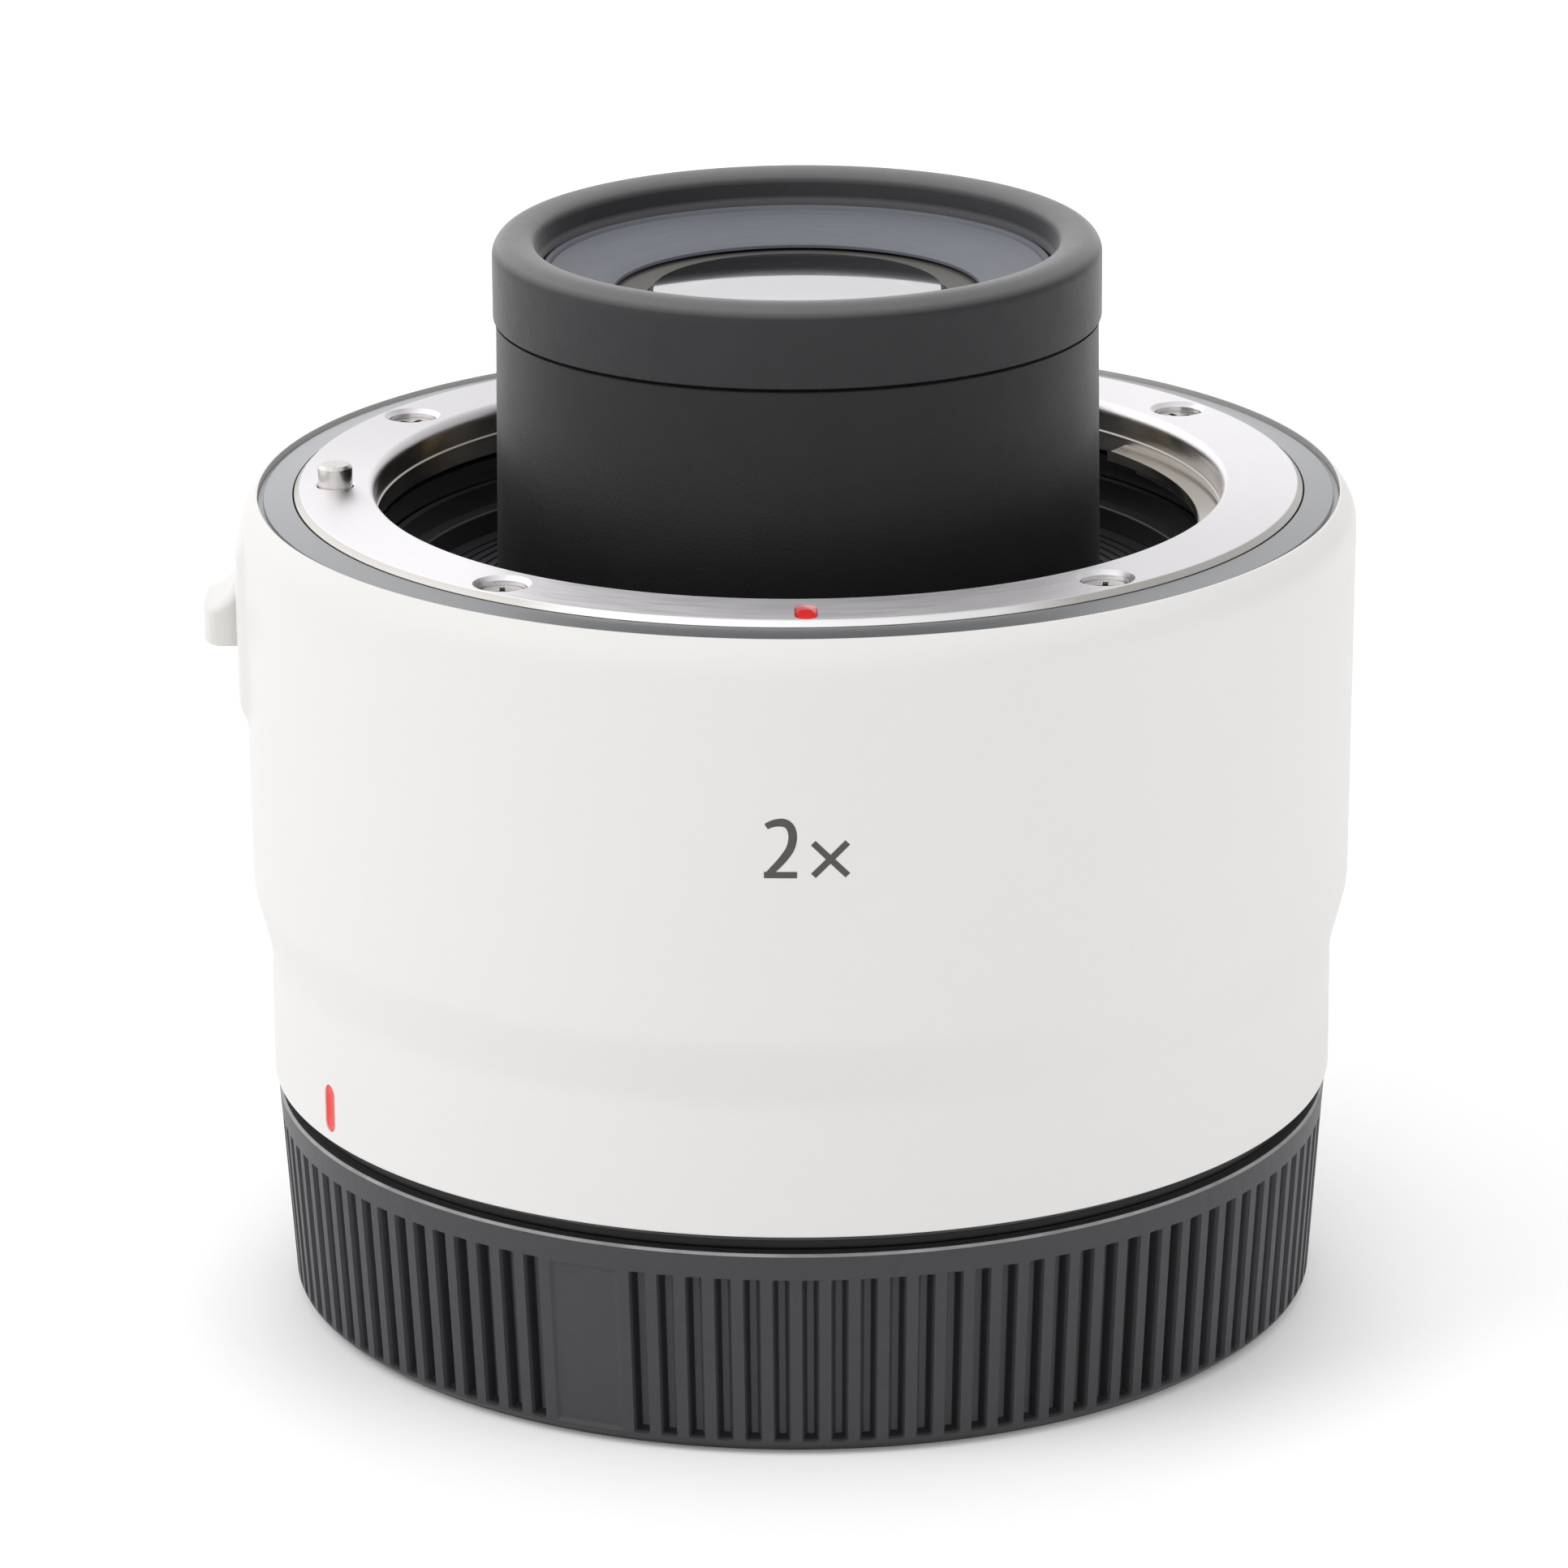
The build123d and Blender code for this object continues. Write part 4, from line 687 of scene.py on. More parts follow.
def make_shell():
    flank_low = (shell_waist_r, waist_z)
    flank_high = (shell_r, shoulder_z)
    flank = run_between(flank_low, flank_high, even(pad_low_z, pad_low_z + pad_low_blend, 8))
    flank += run_between(flank_low, flank_high, even(shoulder_z - pad_high_blend, shoulder_z, 4)[:-1])
    points = [(shell_bore_r, shell_low_z), (shell_low_r, shell_low_z, 0.12 * MM)]
    points += [(shell_low_r, taper_low_z, 5.0 * MM), (shell_waist_r, waist_z, 5.0 * MM)]
    points += flank
    points += [(shell_r, shoulder_z + 1.2 * MM, 2.6 * MM), (shell_lip_r, trim_top_z, 0.10 * MM)]
    points += [(trim_r + 0.05 * MM, trim_top_z), (trim_r + 0.05 * MM, ledge_top_z)]
    points += [(shell_bore_r + 0.1 * MM, ledge_top_z), (shell_bore_r + 0.1 * MM, ledge_low_z)]
    points += [(shell_waist_r - shell_wall, ledge_low_z), (shell_waist_r - shell_wall, waist_z)]
    points += [(shell_bore_r, taper_low_z)]
    shell = lathe("shell_skin", points, turns=pad_turns(), relief=pad_relief)
    cutters = [slot_cutter(), mark_cutter(shell_low_r - mark_depth, shell_r, rear_mark_low_z,
                                          rear_mark_high_z, rear_mark_half, rear_mark_azimuth)]
    return fit(combine(shell, cutters, "DIFFERENCE"), "converter", "white_paint", "body_shell")


make_shell()


# Release knob

def knob_corner(r, z, turn):
    """Rounds the nub off towards its two sides."""
    over = abs(turn - math.pi) * -knob_low.x - (knob_half - 0.1 * MM - nub_corner)
    if r < nub_base_r or over < 0:
        return r, z
    drop = nub_corner - math.sqrt(max(0, nub_corner ** 2 - over ** 2))
    return max(nub_base_r, r - drop), z


nub_corner = 0.80 * MM
nub_base_r = shell_r


def make_knob():
    """A plate in the shell's slot with a thumb ramp that ends in a flat lower ledge."""
    base_r = shell_r + 0.30 * MM
    inner_r = base_r - 1.40 * MM
    knob_r = -knob_low.x
    low_z, high_z = knob_low.z, knob_high.z - 1.05 * MM
    nub_high_z = low_z + 5.15 * MM
    lip_z = low_z + 2.30 * MM
    plate_turns = sector(180, 2 * math.degrees(knob_half / base_r), 24)
    nub_turns = sector(180, 2 * math.degrees((knob_half - 0.1 * MM) / knob_r), 72)
    plate = [(inner_r, low_z), (base_r, low_z), (base_r, high_z), (inner_r, high_z)]
    plate = lathe("knob", plate, plate_turns)
    quarter = [math.pi / 2 * s for s in even(0.06, 0.97, 16)]
    ramp = [(knob_r - (knob_r - base_r) * math.sin(turn) ** 1.35,
             lip_z + (nub_high_z - lip_z) * (1 - math.cos(turn))) for turn in quarter]
    nub = [(inner_r + 0.5 * MM, low_z), (knob_r, low_z, 0.55 * MM), (knob_r, lip_z)]
    nub += ramp + [(nub_base_r, nub_high_z + 0.2 * MM), (inner_r + 0.5 * MM, nub_high_z)]
    nub = lathe("nub", nub, nub_turns, relief=knob_corner)
    knob = combine(soften(plate, 0.20 * MM), [soften(nub, 0.16 * MM)], "UNION")
    fit(knob, "lens_release", "white_paint", "release_knob")


make_knob()


# Front mount ring, trim ring, screws and marks

throat_r = 27.0 * MM
collar_r = throat_r + 0.90 * MM
plate_low_z = face_z - 2.0 * MM
lug_inner_r = 25.5 * MM
lip_z = face_z - 1.95 * MM
lug_high_z = face_z - 2.40 * MM
lugs = [(6.0, 62.0), (94.5, 55.0), (226.0, 58.0)]
screw_circle_r = 29.80 * MM
screw_azimuths = [-127.3, -51.2, 32.9, 148.3]
screw_turns = [2, -4, 31, 58]
screw_r = 1.50 * MM
screw_head_low_z = screw_top_z - 0.8 * MM
cross_reach, cross_half_width, cross_depth = 0.95 * MM, 0.17 * MM, 0.30 * MM
bore_r = screw_r + 0.05 * MM
bore_mouth_r = bore_r + 0.28 * MM
front_mark_azimuth = -89.2
front_mark_half = 0.70 * MM
front_mark_low_r, front_mark_high_r = 28.65 * MM, 31.70 * MM
pin_low, pin_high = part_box("lock_pin")
pin_r = (pin_high.x - pin_low.x) / 2
pin_x, pin_y = (pin_low.x + pin_high.x) / 2, (pin_low.y + pin_high.y) / 2


def counterbore(azimuth):
    chamfer_z = face_z - 0.28 * MM
    points = [(0, screw_head_low_z), (bore_r, screw_head_low_z), (bore_r, chamfer_z)]
    points += [(bore_mouth_r, face_z), (bore_mouth_r, face_z + MM), (0, face_z + MM)]
    return moved(lathe("bore", points, segments=72), *place(screw_circle_r, azimuth))


def front_slot(trim, low, high):
    outline = slot_outline(front_mark_low_r + trim, front_mark_high_r - trim, front_mark_half - trim)
    return moved(bar("slot", outline, high - low), z=low, turn=math.radians(front_mark_azimuth))


def make_mount_ring():
    edge = 0.36 * MM
    lip = 0.12 * MM
    inner_edge = [(throat_r + 0.45 * MM * (1 - math.cos(math.pi / 2 * s)),
                   face_z - 0.75 * MM * (1 - math.sin(math.pi / 2 * s))) for s in even(0, 1, 10)]
    points = [(throat_r, lug_low_z), (throat_r, lip_z - 2 * lip)]
    points += [(throat_r - lip, lip_z - 1.5 * lip, 0.03 * MM), (throat_r - lip, lip_z, 0.05 * MM)]
    points += [(throat_r, lip_z + lip / 2)] + inner_edge
    points += [(mount_r - edge, face_z, 0.04 * MM), (mount_r, face_z - edge, 0.02 * MM)]
    points += [(mount_r, plate_low_z), (collar_r, plate_low_z)]
    ring = lathe("mount_ring", points + [(collar_r, lug_low_z)], segments=FINE_SEGMENTS)
    arms = []
    for centre, span in lugs:
        steps = round(span * 1.5)
        lug = [(lug_inner_r, lug_low_z), (lug_inner_r, lug_high_z, 0.16 * MM)]
        lug += [(throat_r + 0.4 * MM, lug_high_z), (throat_r + 0.4 * MM, lug_low_z)]
        arms.append(lathe("lug", lug, sector(centre, span, steps)))
    combine(ring, arms, "UNION")
    cutters = [counterbore(azimuth) for azimuth in screw_azimuths]
    cutters.append(front_slot(0, face_z - mark_depth, face_z + MM))
    hole_r, hole_mouth_r = pin_r + 0.08 * MM, pin_r + 0.28 * MM
    hole_low_z, hole_high_z = plate_low_z - MM, face_z + 0.1 * MM
    hole = [(0, hole_low_z), (hole_r, hole_low_z), (hole_r, face_z - 0.1 * MM)]
    hole += [(hole_mouth_r, hole_high_z), (0, hole_high_z)]
    cutters.append(moved(lathe("hole", hole, segments=72), pin_x, pin_y))
    combine(ring, cutters, "DIFFERENCE")
    fit(ring, "converter", "mount_steel", "front_mount_ring")


def make_trim_ring():
    """Its face falls a little outwards, down to a rebate beside the shell's lip."""
    low_z = low_of("front_trim_ring")
    inner_r = mount_r + 0.05 * MM
    rebate_r = trim_r - 0.34 * MM
    rebate_z = trim_top_z - 0.45 * MM
    points = [(inner_r, low_z), (trim_r, low_z), (trim_r, rebate_z), (rebate_r, rebate_z)]
    points += [(rebate_r, trim_top_z - 0.21 * MM, 0.08 * MM), (inner_r, trim_top_z, 0.05 * MM)]
    ring = lathe("trim_ring", points, segments=FINE_SEGMENTS)
    fit(ring, "converter", "trim_black", "front_trim_ring")


def cross_cutter(top_z, half_span, half_width, depth):
    """A cross recess with a square well in its middle."""
    well = half_width * 1.6
    arms = []
    for turn in (0, math.pi / 2):
        arm = bar("arm", rectangle(half_span, half_width), depth * 2)
        arms.append(moved(arm, z=top_z - depth, turn=turn))
    middle = bar("well", rectangle(well, well), depth * 3)
    arms.append(moved(middle, z=top_z - depth * 1.4, turn=math.pi / 4))
    return arms


def make_screws():
    screws = None
    shank_r = 0.8 * MM
    shank_low_z = low_of("front_mount_screws")
    for azimuth, turn in zip(screw_azimuths, screw_turns):
        points = [(0, shank_low_z), (shank_r, shank_low_z), (shank_r, screw_head_low_z)]
        points += [(screw_r, screw_head_low_z), (screw_r, screw_top_z, 0.10 * MM), (0, screw_top_z)]
        screw = lathe("screws", points, segments=72)
        cross = cross_cutter(screw_top_z, cross_reach, cross_half_width, cross_depth)
        combine(screw, cross, "DIFFERENCE")
        moved(screw, *place(screw_circle_r, azimuth), turn=math.radians(turn))
        screws = combine(screws, [screw], "UNION") if screws else screw
    fit(screws, "converter", "screw_steel", "front_mount_screws")


def make_lock_pin():
    top_z = pin_high.z
    tail_z = pin_low.z + 2.6 * MM
    points = [(0, pin_low.z), (0.55 * MM, pin_low.z), (0.55 * MM, tail_z), (pin_r, tail_z)]
    points += [(pin_r, top_z - 0.20 * MM, 0.05 * MM), (pin_r - 0.20 * MM, top_z, 0.05 * MM), (0, top_z)]
    pin = moved(lathe("pin", points, segments=96), pin_x, pin_y)
    fit(pin, "lens_release", "screw_steel", "lock_pin", look="pin_steel")


def domed(name, outline, low, edge, crown):
    """A filled mark on an outline: its face rises from a low border to a crown, or sinks to it."""
    shares = (1.0, 0.93, 0.85, 0.72, 0.58, 0.44, 0.30, 0.16)
    rise = crown - edge
    rows = [(1.0, low)]
    rows += [(share, edge + rise * smooth_share((1 - share) / 0.6)) for share in shares]
    xs = [x for x, _ in outline]
    middle = (min(xs) + max(xs)) / 2
    count = len(outline)
    verts = []
    for share, height in rows:
        verts += [(middle + (x - middle) * share, y * share, height) for x, y in outline]
    faces = [tuple(range(count)), tuple(range(len(verts) - count, len(verts)))]
    for row in range(len(rows) - 1):
        for k in range(count):
            a, b = row * count + k, row * count + (k + 1) % count
            faces.append((a, b, b + count, a + count))
    mesh = bpy.data.meshes.new(name)
    mesh.from_pydata(verts, [], faces)
    return piece_from(name, mesh)


def make_marks():
    trim = 0.025 * MM
    floor = 0.02 * MM - mark_depth
    outline = slot_outline(front_mark_low_r + trim, front_mark_high_r - trim, front_mark_half - trim)
    front = domed("front_dot", outline, floor, -0.20 * MM, -0.04 * MM)
    moved(front, z=face_z, turn=math.radians(front_mark_azimuth))
    fit(front, "converter", "red_paint", "front_index_mark")
    outline = slot_outline(rear_mark_low_z, rear_mark_high_z, rear_mark_half - trim)
    rear = domed("rear_line", outline, floor, -0.10 * MM, -0.22 * MM)
    rear.data.transform(Matrix.Rotation(-math.pi / 2, 4, "Y"))
    moved(rear, x=-shell_low_r)
    moved(rear, turn=math.radians(rear_mark_azimuth - 180))
    fit(rear, "converter", "red_paint", "rear_index_mark")


make_mount_ring()
make_trim_ring()
make_screws()
make_lock_pin()
make_marks()


# Snout: barrel, rubber rim, cone, retainer and first lens

def make_barrel():
    bore_r = mouth_r - 0.05 * MM
    rear_r = 20.6 * MM
    rear_bore_r = 17.45 * MM
    spigot_r = snout_r - 1.70 * MM
    flange_low_z = shelf_top_z - 1.80 * MM
    bore_step_z = 36.20 * MM
    shoulder_z = snout_ring_low_z - 0.20 * MM
    points = [(bore_r, bore_step_z), (bore_r, barrel_top_z), (spigot_r, barrel_top_z)]
    points += [(spigot_r, shoulder_z), (snout_r, shoulder_z, 0.10 * MM), (snout_r, shelf_top_z)]
    points += [(flange_r, shelf_top_z), (flange_r, flange_low_z), (rear_r, flange_low_z)]
    points += [(rear_r, barrel_low_z), (rear_bore_r, barrel_low_z), (rear_bore_r, bore_step_z)]
    barrel = lathe("snout_barrel", points, segments=FINE_SEGMENTS)
    fit(barrel, "converter", "barrel_black", "inner_barrel")


def make_rim():
    crest_r = snout_r - 1.20 * MM
    edge_r = crest_r - 1.45 * MM
    spigot_r = snout_r - 1.65 * MM
    crest = [(snout_r - (snout_r - crest_r) * (1 - math.cos(math.pi / 2 * s)),
              snout_top_z - 1.25 * MM * (1 - math.sin(math.pi / 2 * s))) for s in even(0, 1, 12)]
    inner = [(crest_r - (crest_r - edge_r) * math.sin(math.pi / 2 * s),
              snout_top_z - 0.60 * MM * (1 - math.cos(math.pi / 2 * s))) for s in even(0, 1, 8)[1:-1]]
    points = [(mouth_r, barrel_top_z), (spigot_r, barrel_top_z), (spigot_r, snout_ring_low_z)]
    points += [(snout_r, snout_ring_low_z, 0.08 * MM)] + crest + inner
    points += [(edge_r, snout_top_z - 0.60 * MM), (mouth_r, snout_top_z - 1.90 * MM, 0.08 * MM)]
    rim = lathe("rim", points, segments=FINE_SEGMENTS)
    fit(rim, "converter", "rim_rubber", "snout_rim_ring")


def make_cone():
    low_r = 11.70 * MM
    cone_low_z = lens_edge_z + 0.70 * MM
    cone_high_z = high_of("front_cone_ring")
    wall_r = cone_r - 0.95 * MM
    bevel_r = low_r + 0.80 * MM
    points = [(low_r, cone_low_z, 0.05 * MM), (bevel_r, cone_low_z + 0.34 * MM, 0.4 * MM)]
    points += [(cone_r - 0.46 * MM, cone_high_z - 0.22 * MM)]
    points += [(cone_r - 0.38 * MM, cone_high_z - 0.26 * MM)]
    points += [(cone_r - 0.30 * MM, cone_high_z, 0.04 * MM), (cone_r, cone_high_z, 0.04 * MM)]
    points += [(cone_r, lens_edge_z), (wall_r, lens_edge_z)]
    points += [(wall_r, cone_low_z - 0.2 * MM), (low_r, cone_low_z - 0.2 * MM)]
    cone = lathe("cone", points, segments=FINE_SEGMENTS)
    fit(cone, "converter", "black_anodised", "front_cone_ring", look="cone_black_painted_light")


retainer_bore_r = 9.65 * MM


def make_retainer():
    low_z = lens_edge_z + 0.03 * MM
    bore_low_z = low_z - 0.25 * MM
    bore_high_z = lens_edge_z + 0.20 * MM
    step_z = lens_edge_z + 0.30 * MM
    outer_r, step_r, seat_r = 12.5 * MM, 11.0 * MM, 10.9 * MM
    points = [(retainer_bore_r, bore_low_z), (retainer_bore_r + 0.07 * MM, bore_high_z, 0.05 * MM)]
    points += [(step_r, step_z), (outer_r, step_z), (outer_r, low_z), (seat_r, low_z)]
    retainer = lathe("lens_retainer", points)
    fit(retainer, "converter", "black_anodised", "front_lens_retainer", look="retainer_black_painted_light")


def make_first_lens():
    """A lens whose flat face fills the retainer's bore and mirrors the rim and the sky."""
    radius, low_z = reach_of("lens_1"), low_of("lens_1")
    face_r, face_top_z = 9.15 * MM, lens_edge_z + 0.80 * MM
    neck_r, neck_low_z = retainer_bore_r - 0.05 * MM, lens_edge_z - 0.10 * MM
    points = [(0, face_top_z), (face_r, face_top_z, 0.10 * MM)]
    points += [(neck_r - 0.02 * MM, lens_edge_z + 0.20 * MM, 0.10 * MM), (neck_r, neck_low_z)]
    points += [(radius, neck_low_z), (radius, low_z), (0, low_z)]
    lens = lathe("first_lens", points)
    fit(lens, "converter", "coated_glass", "lens_1")


make_barrel()
make_rim()
make_cone()
make_retainer()
make_first_lens()


# Well inside the mount

def make_well():
    ledge_z = face_z - 6.45 * MM
    wall_r = reach_of("well_wall_ring")
    upper_r = wall_r - 0.5 * MM
    ledge_r = upper_r - 1.1 * MM
    high_z = high_of("well_wall_ring")
    points = [(ledge_r, shelf_top_z), (wall_r, shelf_top_z), (wall_r, high_z), (upper_r, high_z)]
    points += [(upper_r, ledge_z), (ledge_r, ledge_z, 0.15 * MM)]
    wall = lathe("well_wall", points)
    fit(wall, "converter", "black_anodised", "well_wall_ring")


make_well()


# Rear seal

def make_seal():
    low_z, high_z = low_of("rear_seal"), high_of("rear_seal")
    outer_r = reach_of("rear_seal")
    inner_r = outer_r - 1.50 * MM
    points = [(inner_r, low_z), (outer_r, low_z, 0.14 * MM)]
    points += [(outer_r, high_z, 0.06 * MM), (inner_r, high_z)]
    fit(lathe("seal", points, segments=FINE_SEGMENTS), "converter", "seal_rubber", "rear_seal")


make_seal()


# Rear cap

cap_divisions = 118
cap_pitch = TAU / cap_divisions
cap_rib_share = 0.40
cap_floor_half = 0.205 * MM
cap_band_low_z = 0.92 * MM
cap_band_high_z = cap_top_z - 1.70 * MM
cap_corner = 0.16 * MM
cap_panel_divisions = 3
cap_panel_depth = 0.18 * MM
cap_panel_edge = 0.28 * MM
cap_panel_azimuth = math.radians(rear_mark_azimuth + 36.6)
cap_floor_z = 2.0 * MM


def cap_skirt_r(z):
    return cap_low_r + (cap_r - cap_low_r) * z / cap_top_z


def inside(u, v, half_u, half_v, corner):
    """How far a place lies inside a rectangle with round corners."""
    du, dv = abs(u) - half_u + corner, abs(v) - half_v + corner
    outside = math.hypot(max(du, 0), max(dv, 0))
    return corner - outside - min(max(du, dv), 0)


def cap_relief(r, z, turn):
    """Sinks the grooves, with sloping walls and a narrow floor, and the panel into the skirt."""
    if r < cap_low_r - 0.8 * MM or not cap_band_low_z < z < cap_band_high_z:
        return r, z
    half_v = (cap_band_high_z - cap_band_low_z) / 2
    v = z - (cap_band_low_z + cap_band_high_z) / 2
    from_panel = (turn - cap_panel_azimuth + math.pi) % TAU - math.pi
    panel_half = cap_pitch * (cap_panel_divisions - cap_rib_share) / 2
    if abs(from_panel) < panel_half:
        depth = inside(from_panel * r, v, panel_half * r, half_v, cap_corner) / cap_panel_edge
        return r - cap_panel_depth * smooth_share(depth), z
    groove = cap_pitch * (1 - cap_rib_share)
    phase = (from_panel - panel_half) % cap_pitch - cap_pitch * cap_rib_share
    if phase < 0 or abs(from_panel) < panel_half + cap_pitch * cap_rib_share:
        return r, z
    half_u = groove * cap_r / 2
    within = inside((phase - groove / 2) * cap_r, v, half_u, half_v, cap_corner)
    return r - cap_groove_depth * min(1, max(0, within / (half_u - cap_floor_half))), z


def cap_turns():
    """Columns of each division at the edges and on the walls of its groove."""
    groove = cap_pitch * (1 - cap_rib_share)
    floor = cap_floor_half / cap_r
    steps = [-groove / 2 + (groove / 2 - floor) * k / 3 for k in range(4)]
    steps += [-step for step in reversed(steps)]
    first = cap_panel_azimuth + cap_pitch * (cap_panel_divisions + cap_rib_share) / 2
    turns = []
    for k in range(cap_divisions - cap_panel_divisions):
        middle = first + cap_pitch * k + groove / 2
        turns += [middle + step for step in steps]
    panel_half = cap_pitch * (cap_panel_divisions - cap_rib_share) / 2
    edge = cap_panel_edge / cap_r
    for k in range(7):
        inset = panel_half - edge * k / 6
        turns += [cap_panel_azimuth - inset, cap_panel_azimuth + inset]
    turns += [cap_panel_azimuth + panel_half * (k / 4 - 1) for k in range(1, 8)]
    return sorted(turn % TAU for turn in turns)


def make_cap():
    inner_r = cap_r - 1.90 * MM
    foot_r = cap_low_r - 0.95 * MM
    skirt_foot_r = cap_skirt_r(0)
    wall_outer_r, wall_inner_r = 28.3 * MM, 27.1 * MM
    wall_top_z = high_of("rear_cap")
    low, high = cap_band_low_z, cap_band_high_z
    rise = [cap_corner * k / 4 for k in range(1, 5)] + [0.24 * MM, 0.32 * MM, 0.5 * MM]
    heights = [low + step for step in rise] + even(low + MM, high - MM, 8)
    heights += [high - step for step in reversed(rise)]
    skirt = [(cap_skirt_r(z), z) for z in heights]
    dish_low_r, dish_high_r, dish_z = 22.0 * MM, 28.8 * MM, 0.25 * MM
    points = [(0, 0), (dish_low_r, 0), (dish_low_r, dish_z), (dish_high_r, dish_z), (dish_high_r, 0)]
    points += [(foot_r, 0, 0.1 * MM), (skirt_foot_r - 0.15 * MM, 0.62 * MM)]
    points += [(skirt_foot_r, 0.78 * MM, 0.06 * MM)]
    points += [(cap_skirt_r(low), low)] + skirt + [(cap_skirt_r(high), high)]
    points += [(cap_r, cap_top_z - cap_edge), (cap_r - cap_edge, cap_top_z)]
    points += [(inner_r, cap_top_z), (inner_r, cap_floor_z), (wall_outer_r, cap_floor_z)]
    points += [(wall_outer_r, wall_top_z), (wall_inner_r, wall_top_z)]
    points += [(wall_inner_r, cap_floor_z), (0, cap_floor_z)]
    cap = lathe("dust_cap", points, turns=cap_turns(), relief=cap_relief)
    fit(cap, "rear_cap", "cap_plastic", "rear_cap")


make_cap()


# Magnification figure on the barrel's front

def flank_r(z):
    share = (z - waist_z) / (shoulder_z - waist_z)
    return shell_waist_r + (shell_r - shell_waist_r) * share


def stroke(centre_line, half_widths):
    """A band of ink along a line on the flank, as a closed thin solid."""
    proud, sunk = 0.012 * MM, 0.10 * MM
    verts, faces = [], []
    for k, (here, half) in enumerate(zip(centre_line, half_widths)):
        ahead = centre_line[min(k + 1, len(centre_line) - 1)] - centre_line[max(k - 1, 0)]
        across = Vector((-ahead.y, ahead.x)).normalized() * half
        for lift in (-sunk, proud):
            for spot in (here - across, here + across):
                radius = flank_r(spot.y) + lift
                turn = math.radians(-90) + spot.x / shell_r
                verts.append((radius * math.cos(turn), radius * math.sin(turn), spot.y))
    for k in range(len(centre_line) - 1):
        a = 4 * k
        faces += [(a, a + 1, a + 5, a + 4), (a + 2, a + 3, a + 7, a + 6)]
        faces += [(a, a + 2, a + 6, a + 4), (a + 1, a + 3, a + 7, a + 5)]
    last = len(verts) - 4
    faces += [(0, 1, 3, 2), (last, last + 1, last + 3, last + 2)]
    mesh = bpy.data.meshes.new("stroke")
    mesh.from_pydata(verts, [], faces)
    return piece_from("stroke", mesh)


def curve(points, steps=16):
    """A line through cubic spans: start, two handles, end, two handles, end and so on."""
    line = []
    for k in range(0, len(points) - 1, 3):
        a, b, c, d = (Vector(point) * MM for point in points[k:k + 4])
        for step in range(steps + (k + 4 >= len(points))):
            t = step / steps
            u = 1 - t
            line.append(a * u ** 3 + 3 * b * t * u ** 2 + 3 * c * t ** 2 * u + d * t ** 3)
    return line


def straight_stroke(start, end, half, steps=16):
    a, b = Vector(start) * MM, Vector(end) * MM
    return stroke([a + (b - a) * k / steps for k in range(steps + 1)], [half] * (steps + 1))


def make_figure():
    half_pen = 0.20 * MM
    bowl = curve([(-2.05, 41.72), (-1.70, 41.95), (-1.35, 41.99), (-1.15, 41.99), (-0.30, 41.99),
                  (-0.27, 40.70), (-0.80, 40.00), (-1.20, 39.40), (-1.70, 38.98), (-2.00, 38.62)])
    last = len(bowl) - 1
    widths = [half_pen * (0.95 + 0.35 * math.sin(math.pi * k / last)) for k in range(len(bowl))]
    base = straight_stroke((-2.20, 38.66), (-0.20, 38.66), half_pen)
    two = combine(stroke(bowl, widths), [base], "UNION")
    low, high, left, right = 38.60, 40.68, 0.78, 2.86
    cross = straight_stroke((left, low), (right, high), half_pen)
    cross = combine(cross, [straight_stroke((left, high), (right, low), half_pen)], "UNION")
    ink = combine(two, [cross], "UNION")
    ink.name = "figure"
    dress(ink, "figure_ink")
    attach(ink, "converter")


make_figure()


# Springs copied from the imported model

def make_spring(name, node):
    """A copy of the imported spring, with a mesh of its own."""
    spring = piece_from(name, frame["nodes"][node].data.copy())
    fit(spring, "converter", "spring_steel", node)
    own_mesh(spring)


make_spring("release_coil", "release_spring")
make_spring("contact_coils", "contact_springs")


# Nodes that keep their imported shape

slot_of = {part["node"]: part["material_slot"] for part in frame["record"]["subparts"]}
for name, packed in frame["nodes"].items():
    for place_in_mesh in packed.material_slots:
        place_in_mesh.material = finishes[slot_of[name]].material


# Floor, light and camera

def make_floor():
    """A white floor that keeps the object's shadow."""
    side = 6.0
    floor = bar("floor", rectangle(side, side), side / 1000)
    moved(floor, z=cad_low.z - side / 1000)
    white = Finish("floor_white", Roughness=1.0, Specular_IOR_Level=0.0)
    white.link((0.93, 0.93, 0.935, 1), white.surface.inputs["Base Color"])
    glow = white.add("ShaderNodeEmission")
    white.link((1, 1, 1, 1), glow.inputs["Color"])
    path = white.add("ShaderNodeLightPath")
    far = white.ramp(white.radius(), 0.07, 0.24, 0.4, 1.4)
    white.link(white.math("MULTIPLY", path.outputs["Is Camera Ray"], far), glow.inputs["Strength"])
    both = white.add("ShaderNodeAddShader")
    white.link(white.surface.outputs[0], both.inputs[0])
    white.link(glow.outputs[0], both.inputs[1])
    white.link(both.outputs[0], white.tree.nodes["Material Output"].inputs["Surface"])
    floor.data.materials.append(white.material)


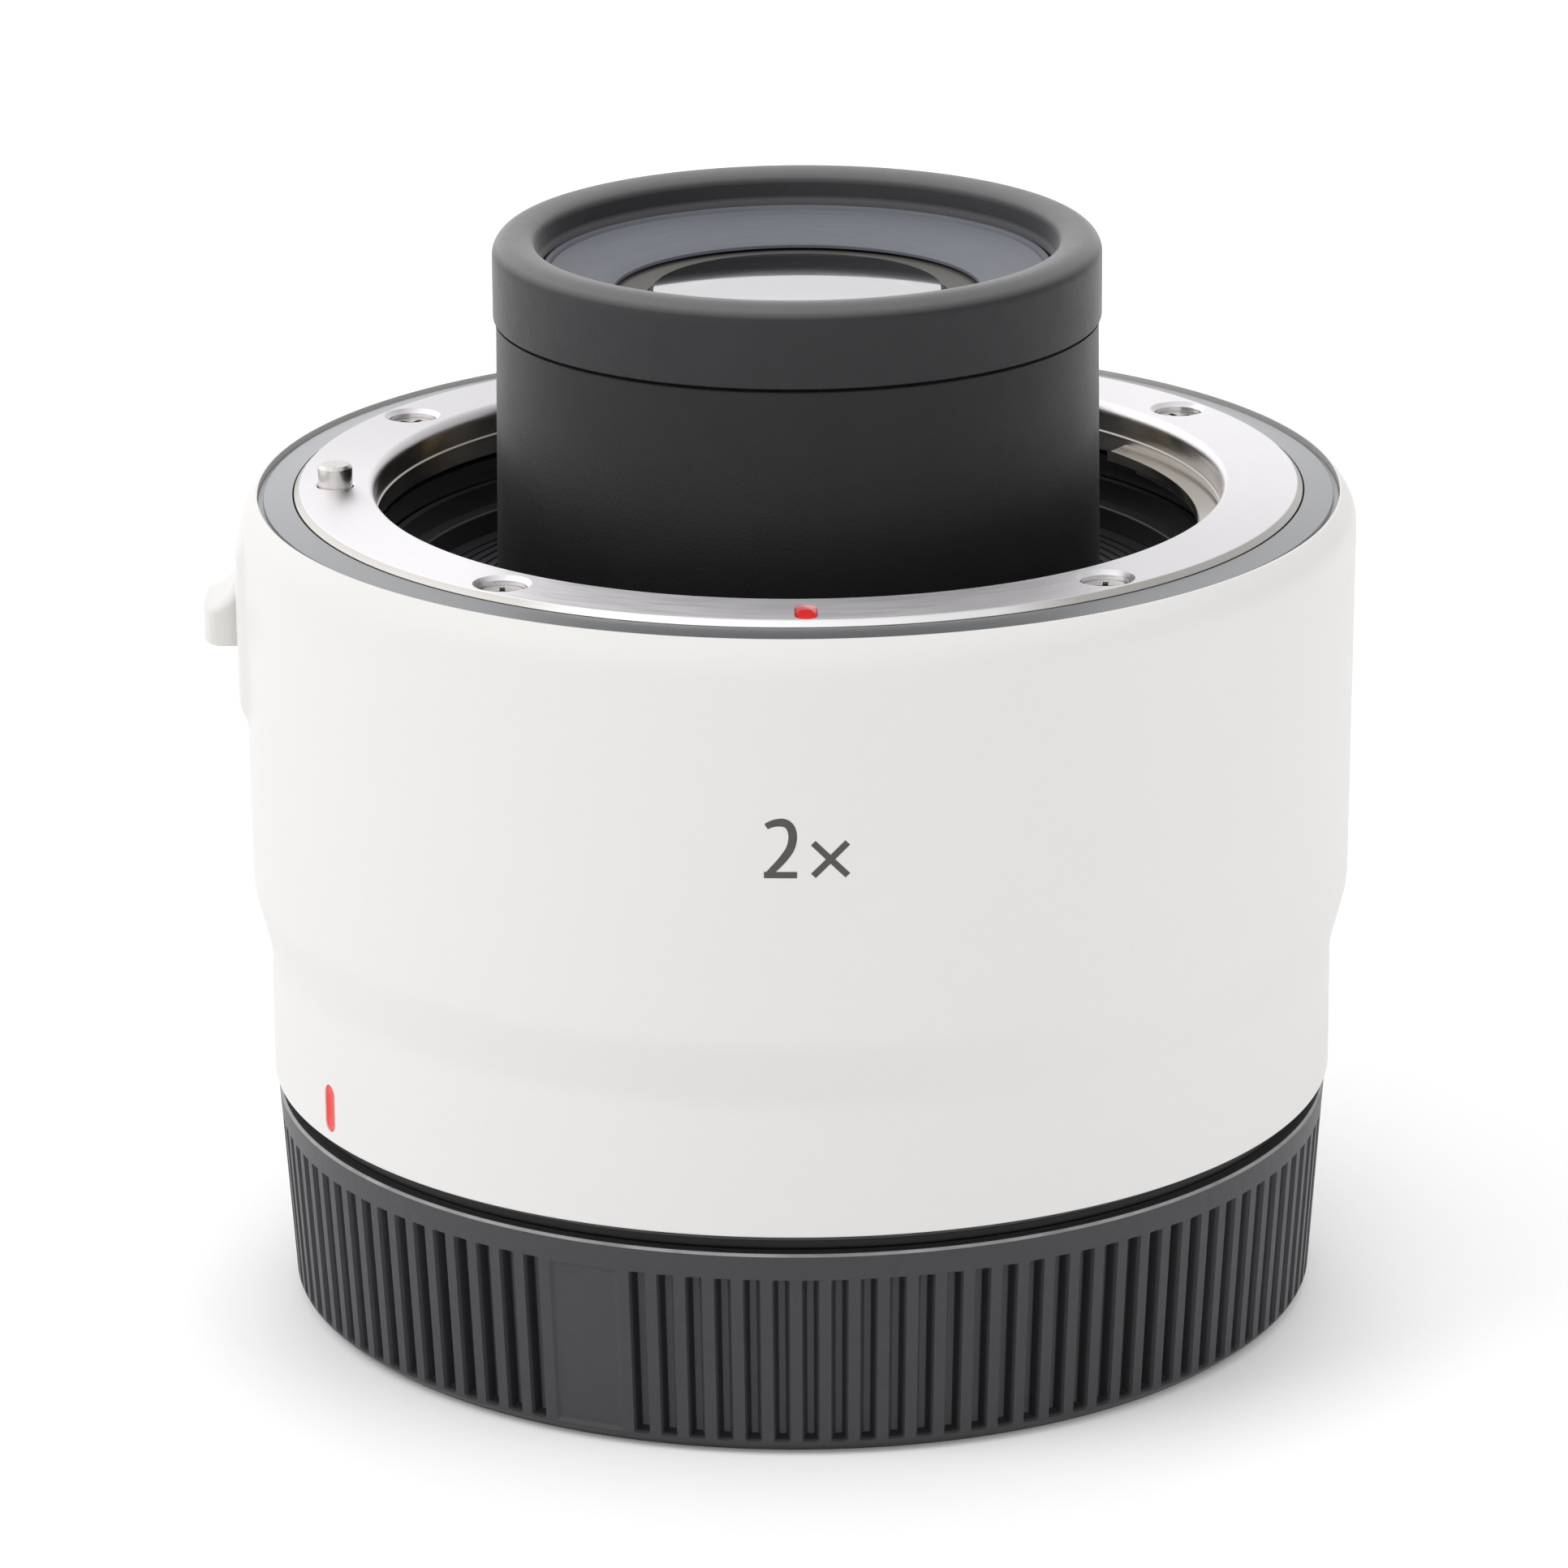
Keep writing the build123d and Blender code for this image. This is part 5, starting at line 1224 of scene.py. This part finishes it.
def make_world():
    """White to the eye, brighter on the left in metal and glass, and plain for everything else."""
    world = bpy.data.worlds.new("studio")
    bpy.context.scene.world = world
    world.use_nodes = True
    studio = Nodes(world.node_tree)
    seen = studio.tree.nodes["Background"]
    studio.link((1, 1, 1, 1), seen.inputs["Color"])
    path = studio.add("ShaderNodeLightPath")
    split = studio.add("ShaderNodeSeparateXYZ")
    studio.link(studio.add("ShaderNodeTexCoord").outputs["Generated"], split.inputs[0])
    mirrored = studio.ramp(split.outputs["X"], 1.55, 0.45, -1, 1)
    level = 0.78
    rays = {"Is Glossy Ray": mirrored, "Is Transmission Ray": 1.0, "Is Camera Ray": 1.0}
    for ray, shown in rays.items():
        choice = studio.add("ShaderNodeMix")
        studio.link(level, choice.inputs["A"])
        studio.link(shown, choice.inputs["B"])
        studio.link(path.outputs[ray], choice.inputs["Factor"])
        level = choice.outputs["Result"]
    studio.link(level, seen.inputs["Strength"])


def make_lamp(name, location, size, power):
    """A large soft lamp that looks at the object and doesn't show in it as a shape."""
    light = bpy.data.lights.new(name, "AREA")
    light.shape = "DISK"
    light.size = size
    light.energy = power
    lamp = bpy.data.objects.new(name, light)
    lamp.location = location
    aim = Vector((0, 0, 0.035)) - Vector(location)
    lamp.rotation_euler = aim.to_track_quat("-Z", "Y").to_euler()
    lamp.visible_glossy = False
    bpy.context.scene.collection.objects.link(lamp)


def make_camera():
    location = Vector((0, -0.469065, 0.184293))
    pitch, yaw, roll = math.radians(17.881), math.radians(-0.1258), math.radians(-0.3565)
    ahead = Vector((math.sin(yaw) * math.cos(pitch), math.cos(yaw) * math.cos(pitch), -math.sin(pitch)))
    level = Vector((math.cos(yaw), -math.sin(yaw), 0))
    upright = level.cross(ahead)
    right = level * math.cos(roll) + upright * math.sin(roll)
    up = upright * math.cos(roll) - level * math.sin(roll)
    camera_data = bpy.data.cameras.new("camera")
    camera_data.lens = 175.0
    camera_data.sensor_width = 36.0
    camera = bpy.data.objects.new("camera", camera_data)
    camera.matrix_world = Matrix.Translation(location) @ Matrix((right, up, -ahead)).transposed().to_4x4()
    bpy.context.scene.collection.objects.link(camera)
    bpy.context.scene.camera = camera


make_floor()
make_world()
make_lamp("key", (-0.65, -0.25, 0.70), 0.60, 3.4)
make_lamp("fill", (0.60, -0.30, 0.55), 0.60, 1.2)
make_lamp("back", (0.05, 0.65, 0.60), 0.60, 2.0)
make_camera()
bpy.context.scene.view_settings.view_transform = "Standard"
